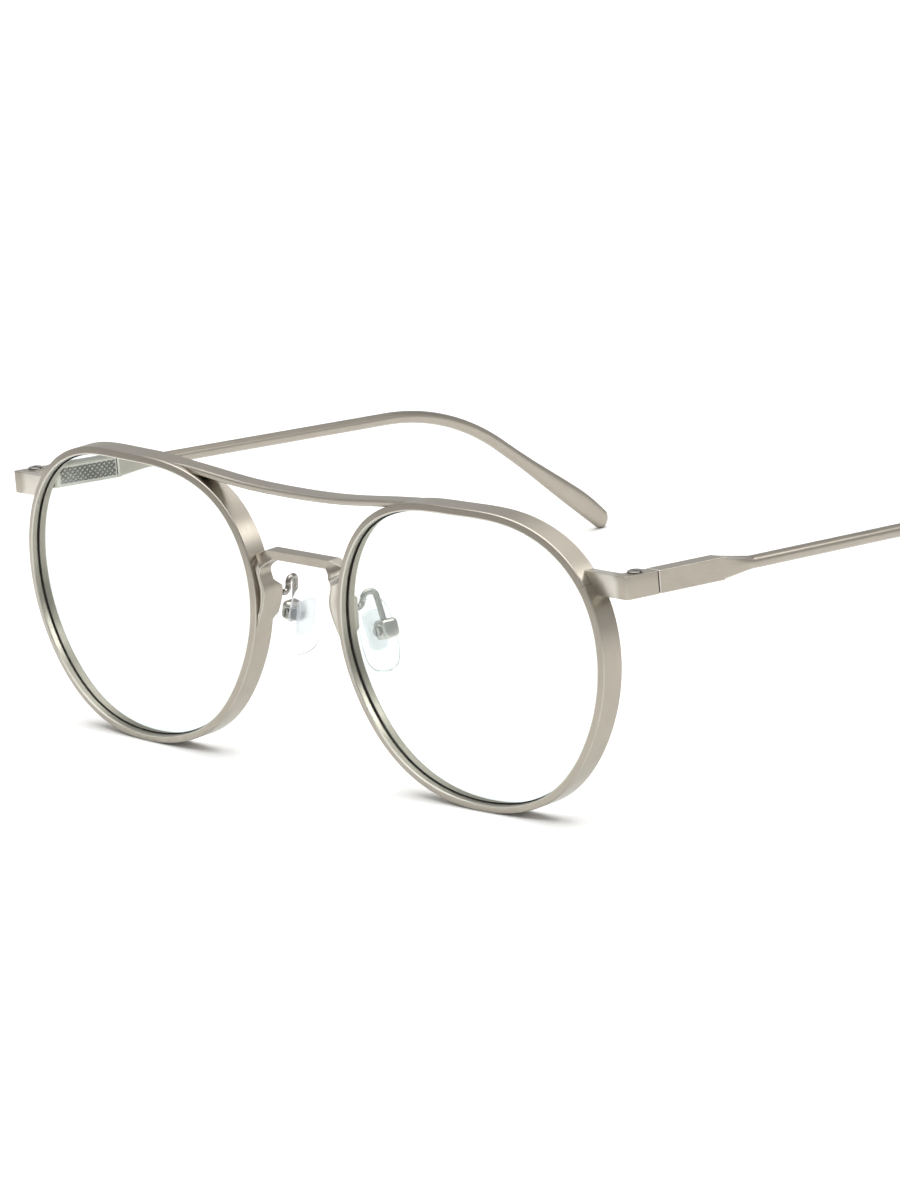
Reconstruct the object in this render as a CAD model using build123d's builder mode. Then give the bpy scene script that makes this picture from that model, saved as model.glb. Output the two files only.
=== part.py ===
from build123d import *
import os
from math import cos, radians, sin, tan

# Double bridge glasses with a metal front, open and standing on a table.
# Millimetres. +X is the wearer's left, +Y runs back along the temples, +Z is up.
# While the pieces are made, y = 0 is the foremost point of the sphere that the lenses lie on.
# The left half is modelled, and the right half is its mirror image.

os.makedirs("parts", exist_ok=True)

# The front
rim_width = 56.4
rim_height = 48.4
rim_spacing = 75.1
rim_band = 1.25
rim_depth = 3.85
rim_edge_round = 0.22
base_radius = 100.0
wrap_shift = 3.0
overrun = 1.0
solder_line = 0.02

# The rim's outline: shares of its half width and half height, from the temple side over the top
outline_shares = [
    (1.0, 0.13), (0.905, 0.565), (0.693, 0.833), (0.40, 0.973), (0.0, 1.0), (-0.42, 0.963), (-0.76, 0.775),
    (-0.965, 0.40), (-0.995, 0.02), (-0.87, -0.41), (-0.59, -0.79), (0.0, -1.0), (0.57, -0.84), (0.87, -0.45),
]

# The lens and its groove
groove_depth = 0.6
groove_width = 0.9
groove_setback = 2.0
lens_thickness = 1.3
lens_bevel_width = 0.7
lens_bevel_depth = 0.5
lens_clearance = 0.05

# The top bar, which dips between the rims. Its drop is from the rims' top, its insets from their middles
bar_setback = 4.0
bar_depth = 3.2
bar_height = 1.15
bar_drop = 2.28
bar_edge_round = 0.4
bar_rise_shares = [(0.0, 0.0), (0.40, 0.20), (0.82, 0.84), (1.0, 1.0)]
bar_span_inset = 7.55
bar_end_inset = 12.55
bar_rise = 1.75

# The lower bridge, a stamped saddle with a leg on each rim. Drops are from its top, or its top's from the
# rims' top, and insets are from the narrowest place between the rims
bridge_setback = 3.5
bridge_depth = 3.6
bridge_drop = 12.75
bridge_height = 1.5
saddle_setback = 1.2
saddle_slope_drop = 2.7
bridge_flat_inset = 3.35
bridge_shoulder_inset = 2.2
bridge_shoulder_run = 2.6
bridge_shoulder_drop = 1.15
leg_depth = 5.1
leg_foot_reach = 1.35
leg_foot_drop = 14.85
leg_lobe_low_drop = 11.2
leg_lobe_high_drop = 6.5
leg_shoulder_drop = 5.3
leg_foot_depth = 2.6
leg_foot_taper = 2.2
leg_waist_inset = 1.3
leg_waist_drop = 3.6
leg_knee_inset = 1.85
leg_knee_drop = 5.8
leg_shin_inset = 0.85
leg_shin_drop = 10.35

# The end pieces, which stand out beyond the rims, below the rims' top
end_reach = 4.25
end_setback = 6.86
end_height = 3.65
end_drop = 11.44
end_front_thickness = 2.0
side_thickness = 2.8
side_length = 6.9
end_corner_round = 0.6
inner_corner_round = 0.35
rear_corner_round = 0.4

# The rim lock behind each end piece
lock_depth = 1.5
lock_height = 1.7
lock_clearance = 0.05
lock_screw_radius = 0.35
lock_head_radius = 0.55
lock_head_height = 0.5
lock_screw_grip = 1.1
saw_cut = 0.15

# The hinge
hinge_inset = 1.62
hinge_setback = 3.6
knuckle_radius = 1.0
knuckle_height = 1.1
knuckle_clearance = 0.06
washer_height = 0.2
washer_radius = 0.9
pivot_radius = 0.55
pivot_clearance = 0.05
thread_radius = 0.42
thread_clearance = 0.02
hinge_head_radius = 1.2
hinge_head_height = 0.52
hinge_head_proud = 0.36
head_slot_width = 0.28
head_slot_depth = 0.25
screw_tail_short = 0.3

# The temples
temple_gap = 0.25
temple_slope = 5.2
toe_in = 0.7
box_length = 14.1
box_height = 3.7
box_edge_round = 0.2
root_length = 1.6
root_width = 1.2
root_clearance = 0.02
taper_length = 7.2
taper_step = 0.04
rod_radius = 1.07
rod_set_down = 0.25
bend_setback = 104.2
bend_radius = 50.0
ear_slope = 38.22
seam_share = 0.5
tip_setback = 139.2

# The knurled plates let into the temples' inner faces
inlay_length = 12.3
inlay_height = 2.9
inlay_thickness = 0.5
inlay_margin = 0.7
inlay_clearance = 0.02

# The temple tips: half widths at shares of the way down the straight part
core_radius = 0.7
core_clearance = 0.03
core_short = 6.0
tip_start_radius = 1.12
tip_half_thickness = 0.95
tip_half_width = 2.1
tip_flare_shares = [(0.0, 0.0), (0.28, 0.14), (0.5, 0.46), (0.72, 0.76), (1.0, 1.0)]

# The nose pads, each on a wire arm with a small box. Drops are from the lower bridge's top
arm_radius = 0.5
arm_root_inset = 0.45
arm_root_drop = 8.05
arm_root_run = 1.3
arm_peak_drop = 5.95
arm_bend = 0.75
arm_top_bend = 1.3
pad_screw_reach = 1.45
pad_screw_setback = 12.7
pad_screw_drop = 12.4
pad_splay = 12.0
cup_width = 3.2
cup_height = 3.1
cup_back = 1.5
cup_front = 1.0
cup_slot_width = 1.8
cup_slot_height = 2.3
cup_edge_round = 0.3
tab_width = 1.6
tab_radius = 0.9
tab_clearance = 0.1
pad_screw_radius = 0.32
pad_screw_clearance = 0.04
pad_head_radius = 0.75
pad_head_height = 0.45
pad_width = 6.4
pad_length = 12.0
pad_thickness = 2.4
pad_gap = 1.45
pad_drop = 0.8
pad_back_shift = 0.2
pad_corner = 3.0
pad_round = 0.9
stem_plate_width = 3.4
stem_plate_length = 6.4
stem_plate_thickness = 0.6
stem_plate_cover = 0.8

# Places that follow from the sizes above
rim_x = rim_spacing / 2
rim_z = rim_height / 2
side_x = rim_x + rim_width / 2 + end_reach
nose_x = rim_x - rim_width / 2
bar_low_z = rim_height - bar_drop
bridge_top_z = rim_height - bridge_drop
end_low_z = rim_height - end_drop
side_inner_x = side_x - side_thickness
sphere_centre = (rim_x - wrap_shift, base_radius, rim_z)
shell_reach = 4 * rim_depth
slope_rate = tan(radians(temple_slope))
hinge_x = side_x - hinge_inset
hinge_y = end_setback + hinge_setback
side_end_y = end_setback + side_length
box_start_y = side_end_y + temple_gap
box_end_y = box_start_y + box_length
taper_end_y = box_end_y + taper_length
temple_centre_x = side_x - side_thickness / 2
end_middle_z = end_low_z + end_height / 2
slot_height = knuckle_height + washer_height + knuckle_clearance


def middle_z(y):
    """Height of the middle line of the end piece's side and the temple's box at a given y."""
    return end_middle_z - slope_rate * (y - end_setback)


def outline(inset):
    """Points of the left rim's outline, drawn in from the outer edge by inset."""
    half_width = rim_width / 2 - inset
    half_height = rim_height / 2 - inset
    return [(rim_x + u * half_width, rim_z + v * half_height) for u, v in outline_shares]


def shell(inset, front, back):
    """The rim's outline as a plate between two spheres, front and back behind the rims' front."""
    with BuildPart() as plate:
        with BuildSketch(Plane.XZ.offset(overrun)):
            with BuildLine():
                Spline(*outline(inset), periodic=True)
            make_face()
        extrude(amount=-(shell_reach + overrun))
        with Locations(sphere_centre):
            Sphere(base_radius - front, mode=Mode.INTERSECT)
            Sphere(base_radius - back, mode=Mode.SUBTRACT)
    return plate.part


def block(low, high, mode=Mode.ADD):
    """A box between two corners."""
    size = [b - a for a, b in zip(low, high)]
    with Locations(low):
        Box(*size, align=(Align.MIN, Align.MIN, Align.MIN), mode=mode)


def sloped(y_from, y_to, height):
    """Side view of a bar on the sloping middle line, with upright ends, as (y, z) corners."""
    low = [(y, middle_z(y) - height / 2) for y in (y_from, y_to)]
    high = [(y, middle_z(y) + height / 2) for y in (y_to, y_from)]
    return low + high


# The rims' outer shape, which cuts what is soldered to them
with BuildPart() as rim_block:
    with BuildSketch(Plane.XZ.offset(overrun)):
        with BuildLine():
            Spline(*outline(-solder_line), periodic=True)
        make_face()
    extrude(amount=-(shell_reach + overrun))
rim_block_right = mirror(rim_block.part, about=Plane.YZ)

# Where the rim is sawn through, level with the top of the lock
saw_z = end_low_z + lock_height

with BuildPart() as rim:
    add(shell(0, 0, rim_depth))
    add(shell(rim_band, -overrun, rim_depth + overrun), mode=Mode.SUBTRACT)
    fillet(rim.edges().filter_by(lambda edge: edge.length > rim_width), radius=rim_edge_round)
    groove_front = groove_setback - groove_width / 2
    add(shell(rim_band - groove_depth, groove_front, groove_front + groove_width), mode=Mode.SUBTRACT)
    block((rim_x, -overrun, saw_z), (side_x, shell_reach, saw_z + saw_cut), mode=Mode.SUBTRACT)

with BuildPart() as lens:
    lens_front = groove_setback - lens_thickness / 2
    bevel_front = groove_setback - lens_bevel_width / 2
    add(shell(rim_band + lens_clearance, lens_front, lens_front + lens_thickness))
    add(shell(rim_band - lens_bevel_depth, bevel_front, bevel_front + lens_bevel_width))

# The top bar follows one smooth curve from rim to rim and ends on their outer faces
bar_half_span = rim_x - bar_span_inset
bar_half_length = rim_x - bar_end_inset
bar_points = [(share * bar_half_span, bar_low_z + rise * bar_rise) for share, rise in bar_rise_shares]
bar_top = [(-x, z) for x, z in reversed(bar_points[1:])] + bar_points
bar_bottom = [(x, z - bar_height) for x, z in bar_top]

with BuildPart() as top_bar:
    with BuildSketch(Plane.XZ.offset(-bar_setback)):
        with BuildLine():
            Spline(*bar_top)
            Spline(*bar_bottom)
            Line(bar_top[0], bar_bottom[0])
            Line(bar_top[-1], bar_bottom[-1])
        make_face()
    extrude(amount=-bar_depth)
    fillet(top_bar.edges().filter_by(lambda edge: edge.length > bar_half_span), radius=bar_edge_round)
    add(rim_block.part, mode=Mode.SUBTRACT)
    add(rim_block_right, mode=Mode.SUBTRACT)
    block((-bar_half_length, 0, 0), (bar_half_length, shell_reach, 2 * rim_height), Mode.INTERSECT)

# The lower bridge in front view, left half, without the rim that cuts it
bridge_under_z = bridge_top_z - bridge_height
bridge_half_flat = nose_x - bridge_flat_inset
bridge_shoulder = nose_x - bridge_shoulder_inset
shoulder_z = bridge_top_z - bridge_shoulder_drop
saddle_front_y = bridge_setback + saddle_setback
leg_back_y = bridge_setback + leg_depth
leg_foot_x = nose_x + leg_foot_reach
leg_foot_z = bridge_top_z - leg_foot_drop
leg_lobe_low_z = bridge_top_z - leg_lobe_low_drop
leg_lobe_high_z = bridge_top_z - leg_lobe_high_drop
leg_shoulder_z = bridge_top_z - leg_shoulder_drop
leg_outline = [
    (nose_x - leg_waist_inset, bridge_top_z - leg_waist_drop),
    (nose_x - leg_knee_inset, bridge_top_z - leg_knee_drop),
    (nose_x - leg_shin_inset, bridge_top_z - leg_shin_drop),
]
leg_side = [
    (saddle_front_y, bridge_top_z + overrun), (bridge_setback + bridge_depth, bridge_top_z + overrun),
    (bridge_setback + bridge_depth, leg_shoulder_z), (leg_back_y, leg_lobe_high_z),
    (leg_back_y, leg_lobe_low_z), (bridge_setback + leg_foot_depth, leg_lobe_low_z - leg_foot_taper),
    (bridge_setback + leg_foot_depth, leg_foot_z - overrun), (bridge_setback, leg_foot_z - overrun),
    (bridge_setback, bridge_top_z - saddle_slope_drop), (saddle_front_y, bridge_under_z),
]

with BuildPart() as bridge_half:
    with BuildSketch(Plane.XZ):
        with BuildLine():
            Line((0, bridge_under_z), (bridge_half_flat, bridge_under_z))
            Spline((bridge_half_flat, bridge_under_z), *leg_outline, (leg_foot_x, leg_foot_z))
            Polyline((leg_foot_x, leg_foot_z), (rim_x, leg_foot_z), (rim_x, shoulder_z),
                     (bridge_shoulder + bridge_shoulder_run, shoulder_z), (bridge_shoulder, bridge_top_z),
                     (0, bridge_top_z), (0, bridge_under_z))
        make_face()
    extrude(amount=-shell_reach)
    with BuildSketch(Plane.YZ):
        with BuildLine():
            Polyline(*leg_side, close=True)
        make_face()
    extrude(amount=side_x, mode=Mode.INTERSECT)
    add(rim_block.part, mode=Mode.SUBTRACT)

with BuildPart() as bridge:
    add(bridge_half.part)
    mirror(bridge_half.part, about=Plane.YZ)

# The end piece: a front leg soldered to the rim, and a side leg that runs back to the hinge
lock_back_y = end_setback + end_front_thickness
lock_front_y = lock_back_y - lock_depth
lock_inner_x = rim_x + rim_width / 4
lock_outer_x = side_inner_x - lock_clearance
lock_screw_x = lock_outer_x - lock_depth
lock_screw_y = (lock_front_y + lock_back_y) / 2
slot_low_z = middle_z(hinge_y) - slot_height / 2
slot_high_z = slot_low_z + slot_height
head_seat_z = middle_z(hinge_y) + end_height / 2 + hinge_head_proud - hinge_head_height
screw_low_z = middle_z(hinge_y) - end_height / 2 + screw_tail_short
pocket_radius = knuckle_radius + knuckle_clearance

with BuildPart() as end_piece:
    with BuildSketch(Plane.YZ.offset(lock_inner_x)):
        Polygon(*sloped(end_setback, side_end_y, end_height), align=None)
    extrude(amount=side_x - lock_inner_x)
    block((lock_inner_x - overrun, lock_back_y, 0), (side_inner_x, side_end_y + overrun, rim_height), Mode.SUBTRACT)
    upright = end_piece.edges().filter_by(Axis.Z)
    fillet(upright.group_by(Axis.Y)[0].sort_by(Axis.X)[-1], radius=end_corner_round)
    corner = end_piece.edges().filter_by(Axis.Z).sort_by_distance((side_inner_x, lock_back_y, end_middle_z))[0]
    fillet(corner, radius=inner_corner_round)
    rear_corner = (side_inner_x, side_end_y, middle_z(side_end_y))
    fillet(end_piece.edges().filter_by(Axis.Z).sort_by_distance(rear_corner)[0], radius=rear_corner_round)
    add(rim_block.part, mode=Mode.SUBTRACT)
    block((lock_inner_x - overrun, lock_front_y - lock_clearance, 0),
          (side_inner_x, side_end_y, saw_z + lock_clearance), Mode.SUBTRACT)
    with Locations((lock_screw_x, lock_screw_y, saw_z + lock_clearance)):
        Cylinder(lock_screw_radius + thread_clearance, lock_screw_grip, mode=Mode.SUBTRACT,
                 align=(Align.CENTER, Align.CENTER, Align.MIN))
    with BuildSketch(Plane.XY.offset(slot_low_z)):
        with Locations((hinge_x, hinge_y)):
            Circle(pocket_radius)
            Rectangle(pocket_radius, side_length, align=(Align.MIN, Align.MIN))
        with Locations((hinge_x, hinge_y - pocket_radius)):
            Rectangle(side_thickness, side_length + pocket_radius, align=(Align.MAX, Align.MIN))
    extrude(amount=slot_height, mode=Mode.SUBTRACT)
    with Locations((hinge_x, hinge_y, head_seat_z)):
        Cylinder(hinge_head_radius + thread_clearance, end_height, mode=Mode.SUBTRACT,
                 align=(Align.CENTER, Align.CENTER, Align.MIN))
    with Locations((hinge_x, hinge_y, slot_low_z)):
        Cylinder(pivot_radius + pivot_clearance, end_height, mode=Mode.SUBTRACT,
                 align=(Align.CENTER, Align.CENTER, Align.MIN))
        Cylinder(thread_radius + thread_clearance, end_height, mode=Mode.SUBTRACT,
                 align=(Align.CENTER, Align.CENTER, Align.MAX))

# The rim lock: a block soldered to the rim's lower end, drawn up to the end piece by a screw
with BuildPart() as lock_block:
    block((lock_inner_x, lock_front_y, end_low_z), (lock_outer_x, lock_back_y, saw_z))
    add(rim_block.part, mode=Mode.SUBTRACT)
    with Locations((lock_screw_x, lock_screw_y, end_low_z)):
        Cylinder(lock_screw_radius + lock_clearance, lock_height, mode=Mode.SUBTRACT,
                 align=(Align.CENTER, Align.CENTER, Align.MIN))
        Cylinder(lock_head_radius + lock_clearance, lock_head_height, mode=Mode.SUBTRACT,
                 align=(Align.CENTER, Align.CENTER, Align.MIN))

with BuildPart() as lock_screw:
    with Locations((lock_screw_x, lock_screw_y, end_low_z)):
        Cylinder(lock_head_radius, lock_head_height, align=(Align.CENTER, Align.CENTER, Align.MIN))
        Cylinder(lock_screw_radius, lock_height + lock_screw_grip, align=(Align.CENTER, Align.CENTER, Align.MIN))

# The hinge: the temple's knuckle turns on a screw between the two cheeks of the side leg
knuckle_low_z = slot_low_z + washer_height + knuckle_clearance / 2
root_end_y = box_start_y + root_length

with BuildPart() as knuckle:
    with BuildSketch(Plane.XY.offset(knuckle_low_z)):
        with Locations((hinge_x, hinge_y)):
            Circle(knuckle_radius)
            Rectangle(2 * knuckle_radius, box_start_y - hinge_y, align=(Align.CENTER, Align.MIN))
        with Locations((temple_centre_x, box_start_y)):
            Rectangle(root_width, root_length, align=(Align.CENTER, Align.MIN))
        with Locations((hinge_x, hinge_y)):
            Circle(pivot_radius + pivot_clearance, mode=Mode.SUBTRACT)
    extrude(amount=knuckle_height)

with BuildPart() as hinge_washer:
    with Locations((hinge_x, hinge_y, slot_low_z)):
        Cylinder(washer_radius, washer_height, align=(Align.CENTER, Align.CENTER, Align.MIN))
        Cylinder(pivot_radius + pivot_clearance, washer_height, mode=Mode.SUBTRACT,
                 align=(Align.CENTER, Align.CENTER, Align.MIN))

with BuildPart() as hinge_screw:
    with Locations((hinge_x, hinge_y, screw_low_z)):
        Cylinder(thread_radius, head_seat_z - screw_low_z, align=(Align.CENTER, Align.CENTER, Align.MIN))
    with Locations((hinge_x, hinge_y, head_seat_z)):
        Cylinder(pivot_radius, head_seat_z - slot_low_z, align=(Align.CENTER, Align.CENTER, Align.MAX))
        Cylinder(hinge_head_radius, hinge_head_height, align=(Align.CENTER, Align.CENTER, Align.MIN))
    head_rim = hinge_screw.faces().sort_by(Axis.Z)[-1].edges()
    fillet(head_rim, radius=hinge_head_height / 4)
    with Locations((hinge_x, hinge_y, head_seat_z + hinge_head_height)):
        Box(2 * hinge_head_radius, head_slot_width, 2 * head_slot_depth, mode=Mode.SUBTRACT)

# The temple's line: straight and falling gently to the ear, then bent down to the tip
toe = radians(toe_in)
rod_slope = radians(temple_slope)
turn = radians(ear_slope - temple_slope)
rod_direction = Vector(-sin(toe) * cos(rod_slope), cos(toe) * cos(rod_slope), -sin(rod_slope))
rod_down = Vector(-sin(toe) * -sin(rod_slope), cos(toe) * -sin(rod_slope), -cos(rod_slope))
rod_side = Vector(cos(toe), sin(toe), 0)
rod_start = Vector(temple_centre_x, taper_end_y, middle_z(taper_end_y) - rod_set_down)
bend_corner = rod_start + rod_direction * ((bend_setback - taper_end_y) / rod_direction.Y)
bend_start = bend_corner - rod_direction * (bend_radius * tan(turn / 2))


def on_bend(angle):
    """The point of the ear bend where the temple has turned by angle."""
    return bend_start + rod_direction * (bend_radius * sin(angle)) + rod_down * (bend_radius * (1 - cos(angle)))


def bend_direction(angle):
    """The temple's direction where it has turned by angle."""
    return rod_direction * cos(angle) + rod_down * sin(angle)


def cross_plane(origin, direction):
    """A plane square to the temple, with its x axis across the temple's thickness."""
    return Plane(origin=origin, x_dir=rod_side, z_dir=direction)


seam_turn = turn * seam_share
tail_direction = bend_direction(turn)
tail_start = on_bend(turn)
tail_length = (tip_setback - tail_start.Y) / tail_direction.Y
tip_centre = tail_start + tail_direction * tail_length
core_end = tail_start + tail_direction * (tail_length - core_short)

with BuildPart() as temple:
    with BuildSketch(Plane.YZ.offset(side_inner_x)):
        Polygon(*sloped(box_start_y, box_end_y, box_height), align=None)
    extrude(amount=side_thickness)
    fillet(temple.edges().filter_by(lambda edge: edge.length > taper_length), radius=box_edge_round)
    with BuildSketch(Plane.XZ.offset(-box_end_y)):
        with Locations((temple_centre_x, middle_z(box_end_y))):
            RectangleRounded(side_thickness - 2 * taper_step, box_height - 2 * taper_step, box_edge_round)
    with BuildSketch(cross_plane(rod_start, rod_direction)):
        Circle(rod_radius)
    loft()
    with BuildLine() as rod_line:
        Line(rod_start, bend_start)
        ThreePointArc(bend_start, on_bend(seam_turn / 2), on_bend(seam_turn))
    with BuildSketch(cross_plane(rod_start, rod_direction)):
        Circle(rod_radius)
    sweep(path=rod_line.wire())
    with BuildLine() as core_line:
        ThreePointArc(on_bend(seam_turn), on_bend((seam_turn + turn) / 2), tail_start)
        Line(tail_start, core_end)
    with BuildSketch(cross_plane(on_bend(seam_turn), bend_direction(seam_turn))):
        Circle(core_radius)
    sweep(path=core_line.wire())
    root_low_z = knuckle_low_z - root_clearance
    root_half = root_width / 2 + root_clearance
    block((temple_centre_x - root_half, box_start_y - overrun, root_low_z),
          (temple_centre_x + root_half, root_end_y + root_clearance, root_low_z + knuckle_height + 2 * root_clearance),
          Mode.SUBTRACT)
    with BuildSketch(Plane.YZ.offset(side_inner_x)):
        Polygon(*sloped(box_end_y - inlay_margin - inlay_length - inlay_clearance,
                        box_end_y - inlay_margin + inlay_clearance,
                        inlay_height + 2 * inlay_clearance), align=None)
    extrude(amount=inlay_thickness, mode=Mode.SUBTRACT)

with BuildPart() as inlay:
    with BuildSketch(Plane.YZ.offset(side_inner_x)):
        Polygon(*sloped(box_end_y - inlay_margin - inlay_length, box_end_y - inlay_margin, inlay_height), align=None)
    extrude(amount=inlay_thickness)

# The tip: a sleeve round the bent core, which widens into a flat paddle with a round end
with BuildPart() as round_end:
    with BuildSketch(Plane(origin=tip_centre, x_dir=tail_direction, z_dir=rod_side)):
        Rectangle(2 * tip_half_width, 4 * tip_half_width, align=(Align.MIN, Align.CENTER))
        Circle(tip_half_width, mode=Mode.SUBTRACT)
    extrude(amount=tip_half_width, both=True)

with BuildPart() as tip:
    for angle in (seam_turn, (seam_turn + turn) / 2):
        with BuildSketch(cross_plane(on_bend(angle), bend_direction(angle))):
            Circle(tip_start_radius)
    for way, flare in tip_flare_shares:
        half_width = tip_start_radius + flare * (tip_half_width - tip_start_radius)
        half_thickness = tip_start_radius + flare * (tip_half_thickness - tip_start_radius)
        centre = tail_start + tail_direction * (way * tail_length)
        with BuildSketch(cross_plane(centre, tail_direction)):
            Ellipse(half_thickness, half_width)
    loft()
    with BuildSketch(cross_plane(tip_centre, tail_direction)):
        Ellipse(tip_half_thickness, tip_half_width)
    extrude(amount=tip_half_width)
    add(round_end.part, mode=Mode.SUBTRACT)
    with BuildSketch(cross_plane(on_bend(seam_turn), bend_direction(seam_turn))):
        Circle(core_radius + core_clearance)
    sweep(path=core_line.wire(), mode=Mode.SUBTRACT)

# The nose pads. On the pad plane x runs back, y up along the pad, and z away from the nose
splay = radians(pad_splay)
pad_normal = Vector(cos(splay), 0, sin(splay))
pad_up = Vector(-sin(splay), 0, cos(splay))
pad_origin = Vector(nose_x + pad_screw_reach, pad_screw_setback, bridge_top_z - pad_screw_drop)
arm_peak_z = bridge_top_z - arm_peak_drop


def pad_plane(height):
    """A plane along the pad, at a height above the pad screw's axis, away from the nose."""
    return Plane(origin=pad_origin + pad_normal * height, x_dir=(0, 1, 0), z_dir=pad_normal)


screw_plane = Plane(origin=pad_origin, x_dir=pad_up, z_dir=(0, 1, 0))

with BuildPart() as pad_arm:
    arm_end = pad_origin + pad_up * (cup_height / 2)
    arm_top = arm_end + pad_up * ((arm_peak_z - arm_end.Z) / pad_up.Z)
    arm_root = Vector(nose_x - arm_root_inset, leg_back_y, bridge_top_z - arm_root_drop)
    arm_heel = arm_root + Vector(0, arm_root_run, 0)
    with BuildLine() as arm_line:
        FilletPolyline(arm_root, arm_heel, Vector(arm_heel.X, arm_heel.Y, arm_peak_z), arm_top, arm_end,
                       radius=[arm_bend, arm_top_bend, arm_top_bend])
    with BuildSketch(Plane(origin=arm_root, x_dir=(1, 0, 0), z_dir=(0, 1, 0))):
        Circle(arm_radius)
    sweep(path=arm_line.wire())

with BuildPart() as pad_cup:
    with BuildSketch(pad_plane(-cup_front)):
        RectangleRounded(cup_width, cup_height, cup_edge_round)
    extrude(amount=cup_front + cup_back)
    with BuildSketch(pad_plane(-cup_front)):
        Rectangle(cup_slot_width, cup_slot_height)
    extrude(amount=cup_front + tab_radius + tab_clearance, mode=Mode.SUBTRACT)
    with BuildSketch(screw_plane):
        Circle(pad_screw_radius + pad_screw_clearance)
    extrude(amount=cup_width, both=True, mode=Mode.SUBTRACT)

with BuildPart() as pad_screw:
    with BuildSketch(screw_plane.offset(cup_width / 2)):
        Circle(pad_screw_radius)
    extrude(amount=-cup_width)
    with BuildSketch(screw_plane.offset(-cup_width / 2)):
        Circle(pad_head_radius)
    extrude(amount=-pad_head_height)
    with BuildSketch(screw_plane.offset(-cup_width / 2 - pad_head_height)):
        Rectangle(2 * pad_head_radius, head_slot_width)
    extrude(amount=head_slot_depth, mode=Mode.SUBTRACT)

with BuildPart() as pad_stem:
    with BuildSketch(screw_plane):
        Circle(tab_radius)
        Rectangle(2 * tab_radius, pad_gap + stem_plate_cover, align=(Align.CENTER, Align.MAX))
        Circle(pad_screw_radius + pad_screw_clearance, mode=Mode.SUBTRACT)
    extrude(amount=tab_width / 2, both=True)
    with BuildSketch(pad_plane(-pad_gap - stem_plate_cover)):
        RectangleRounded(stem_plate_width, stem_plate_length, stem_plate_width / 3)
    extrude(amount=-stem_plate_thickness)

with BuildPart() as pad:
    with BuildSketch(pad_plane(-pad_gap)):
        with Locations((pad_back_shift, -pad_drop)):
            RectangleRounded(pad_width, pad_length, pad_corner)
    extrude(amount=-pad_thickness)
    nose_face = pad.faces().filter_by(Plane(origin=(0, 0, 0), z_dir=pad_normal)).sort_by(Axis.X)[0]
    fillet(nose_face.edges(), radius=pad_round)
    add(pad_stem.part, mode=Mode.SUBTRACT)

# Every piece has a left and a right one but these two
single = {"top_bar": top_bar, "bridge": bridge}
paired = {
    "rim": rim, "lens": lens, "end_piece": end_piece, "lock_block": lock_block, "lock_screw": lock_screw,
    "hinge_screw": hinge_screw, "hinge_washer": hinge_washer, "temple_knuckle": knuckle, "temple": temple,
    "temple_inlay": inlay, "temple_tip": tip, "pad_arm": pad_arm, "pad_cup": pad_cup, "pad_screw": pad_screw,
    "pad_stem": pad_stem, "nose_pad": pad,
}
pieces = {name: piece.part for name, piece in single.items()}
for name, piece in paired.items():
    pieces[name + "_left"] = piece.part
    pieces[name + "_right"] = mirror(piece.part, about=Plane.YZ)

# Stand the glasses with the middle of their box on the origin, and write every piece
box = Compound(list(pieces.values())).bounding_box()
to_origin = Location((0, -(box.min.Y + box.max.Y) / 2, -box.min.Z))
for name, piece in pieces.items():
    placed = piece.moved(to_origin)
    placed.label = name
    export_step(placed, f"parts/{name}.step")
print("moved by", to_origin.position, "overall size", box.size)
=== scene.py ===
import math

import bmesh
import bpy
import numpy as np
from mathutils import Matrix, Vector


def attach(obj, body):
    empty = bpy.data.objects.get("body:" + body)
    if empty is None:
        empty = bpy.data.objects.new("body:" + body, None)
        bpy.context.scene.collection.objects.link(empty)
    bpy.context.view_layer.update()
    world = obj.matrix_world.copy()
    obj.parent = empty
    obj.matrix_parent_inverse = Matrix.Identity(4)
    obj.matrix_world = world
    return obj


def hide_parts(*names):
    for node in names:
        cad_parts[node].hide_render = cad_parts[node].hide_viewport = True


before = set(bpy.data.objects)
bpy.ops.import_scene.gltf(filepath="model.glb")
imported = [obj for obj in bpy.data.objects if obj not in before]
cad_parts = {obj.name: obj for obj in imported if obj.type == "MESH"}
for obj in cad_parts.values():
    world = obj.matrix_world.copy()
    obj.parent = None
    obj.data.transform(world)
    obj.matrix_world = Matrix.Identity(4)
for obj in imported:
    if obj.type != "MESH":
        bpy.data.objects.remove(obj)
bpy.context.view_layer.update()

# Double bridge glasses. Sizes are in millimetres, in the bench frame that the solids are drawn in: y = 0 is
# the foremost point of the front's sphere and z = 0 the lowest point of the rims. ROW_SHIFT moves that to
# the row.
MM = 0.001
ROW_SHIFT = Vector((0.0, -71.3295, 0.016312))
CURVE_STEPS, MERGE = 80, 1e-7

# The rims
RIM_X, RIM_Z = 37.55, 24.2
RIM_HALF_WIDTH, RIM_HALF_HEIGHT = 28.2, 24.2
RIM_INNER = RIM_X - RIM_HALF_WIDTH
RIM_BAND, RIM_DEPTH, RIM_PLACES = 1.25, 3.85, 720
BASE_RADIUS, SPHERE_X = 100.0, 34.55
OUTLINE = [
    (1.0, 0.13), (0.905, 0.565), (0.693, 0.833), (0.40, 0.973), (0.0, 1.0), (-0.42, 0.963), (-0.76, 0.775),
    (-0.965, 0.40), (-0.995, 0.02), (-0.87, -0.41), (-0.59, -0.79), (0.0, -1.0), (0.57, -0.84), (0.87, -0.45),
]
GROOVE_AT, GROOVE_DEPTH, GROOVE_HALF = 2.0, 0.6, 0.45
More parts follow.
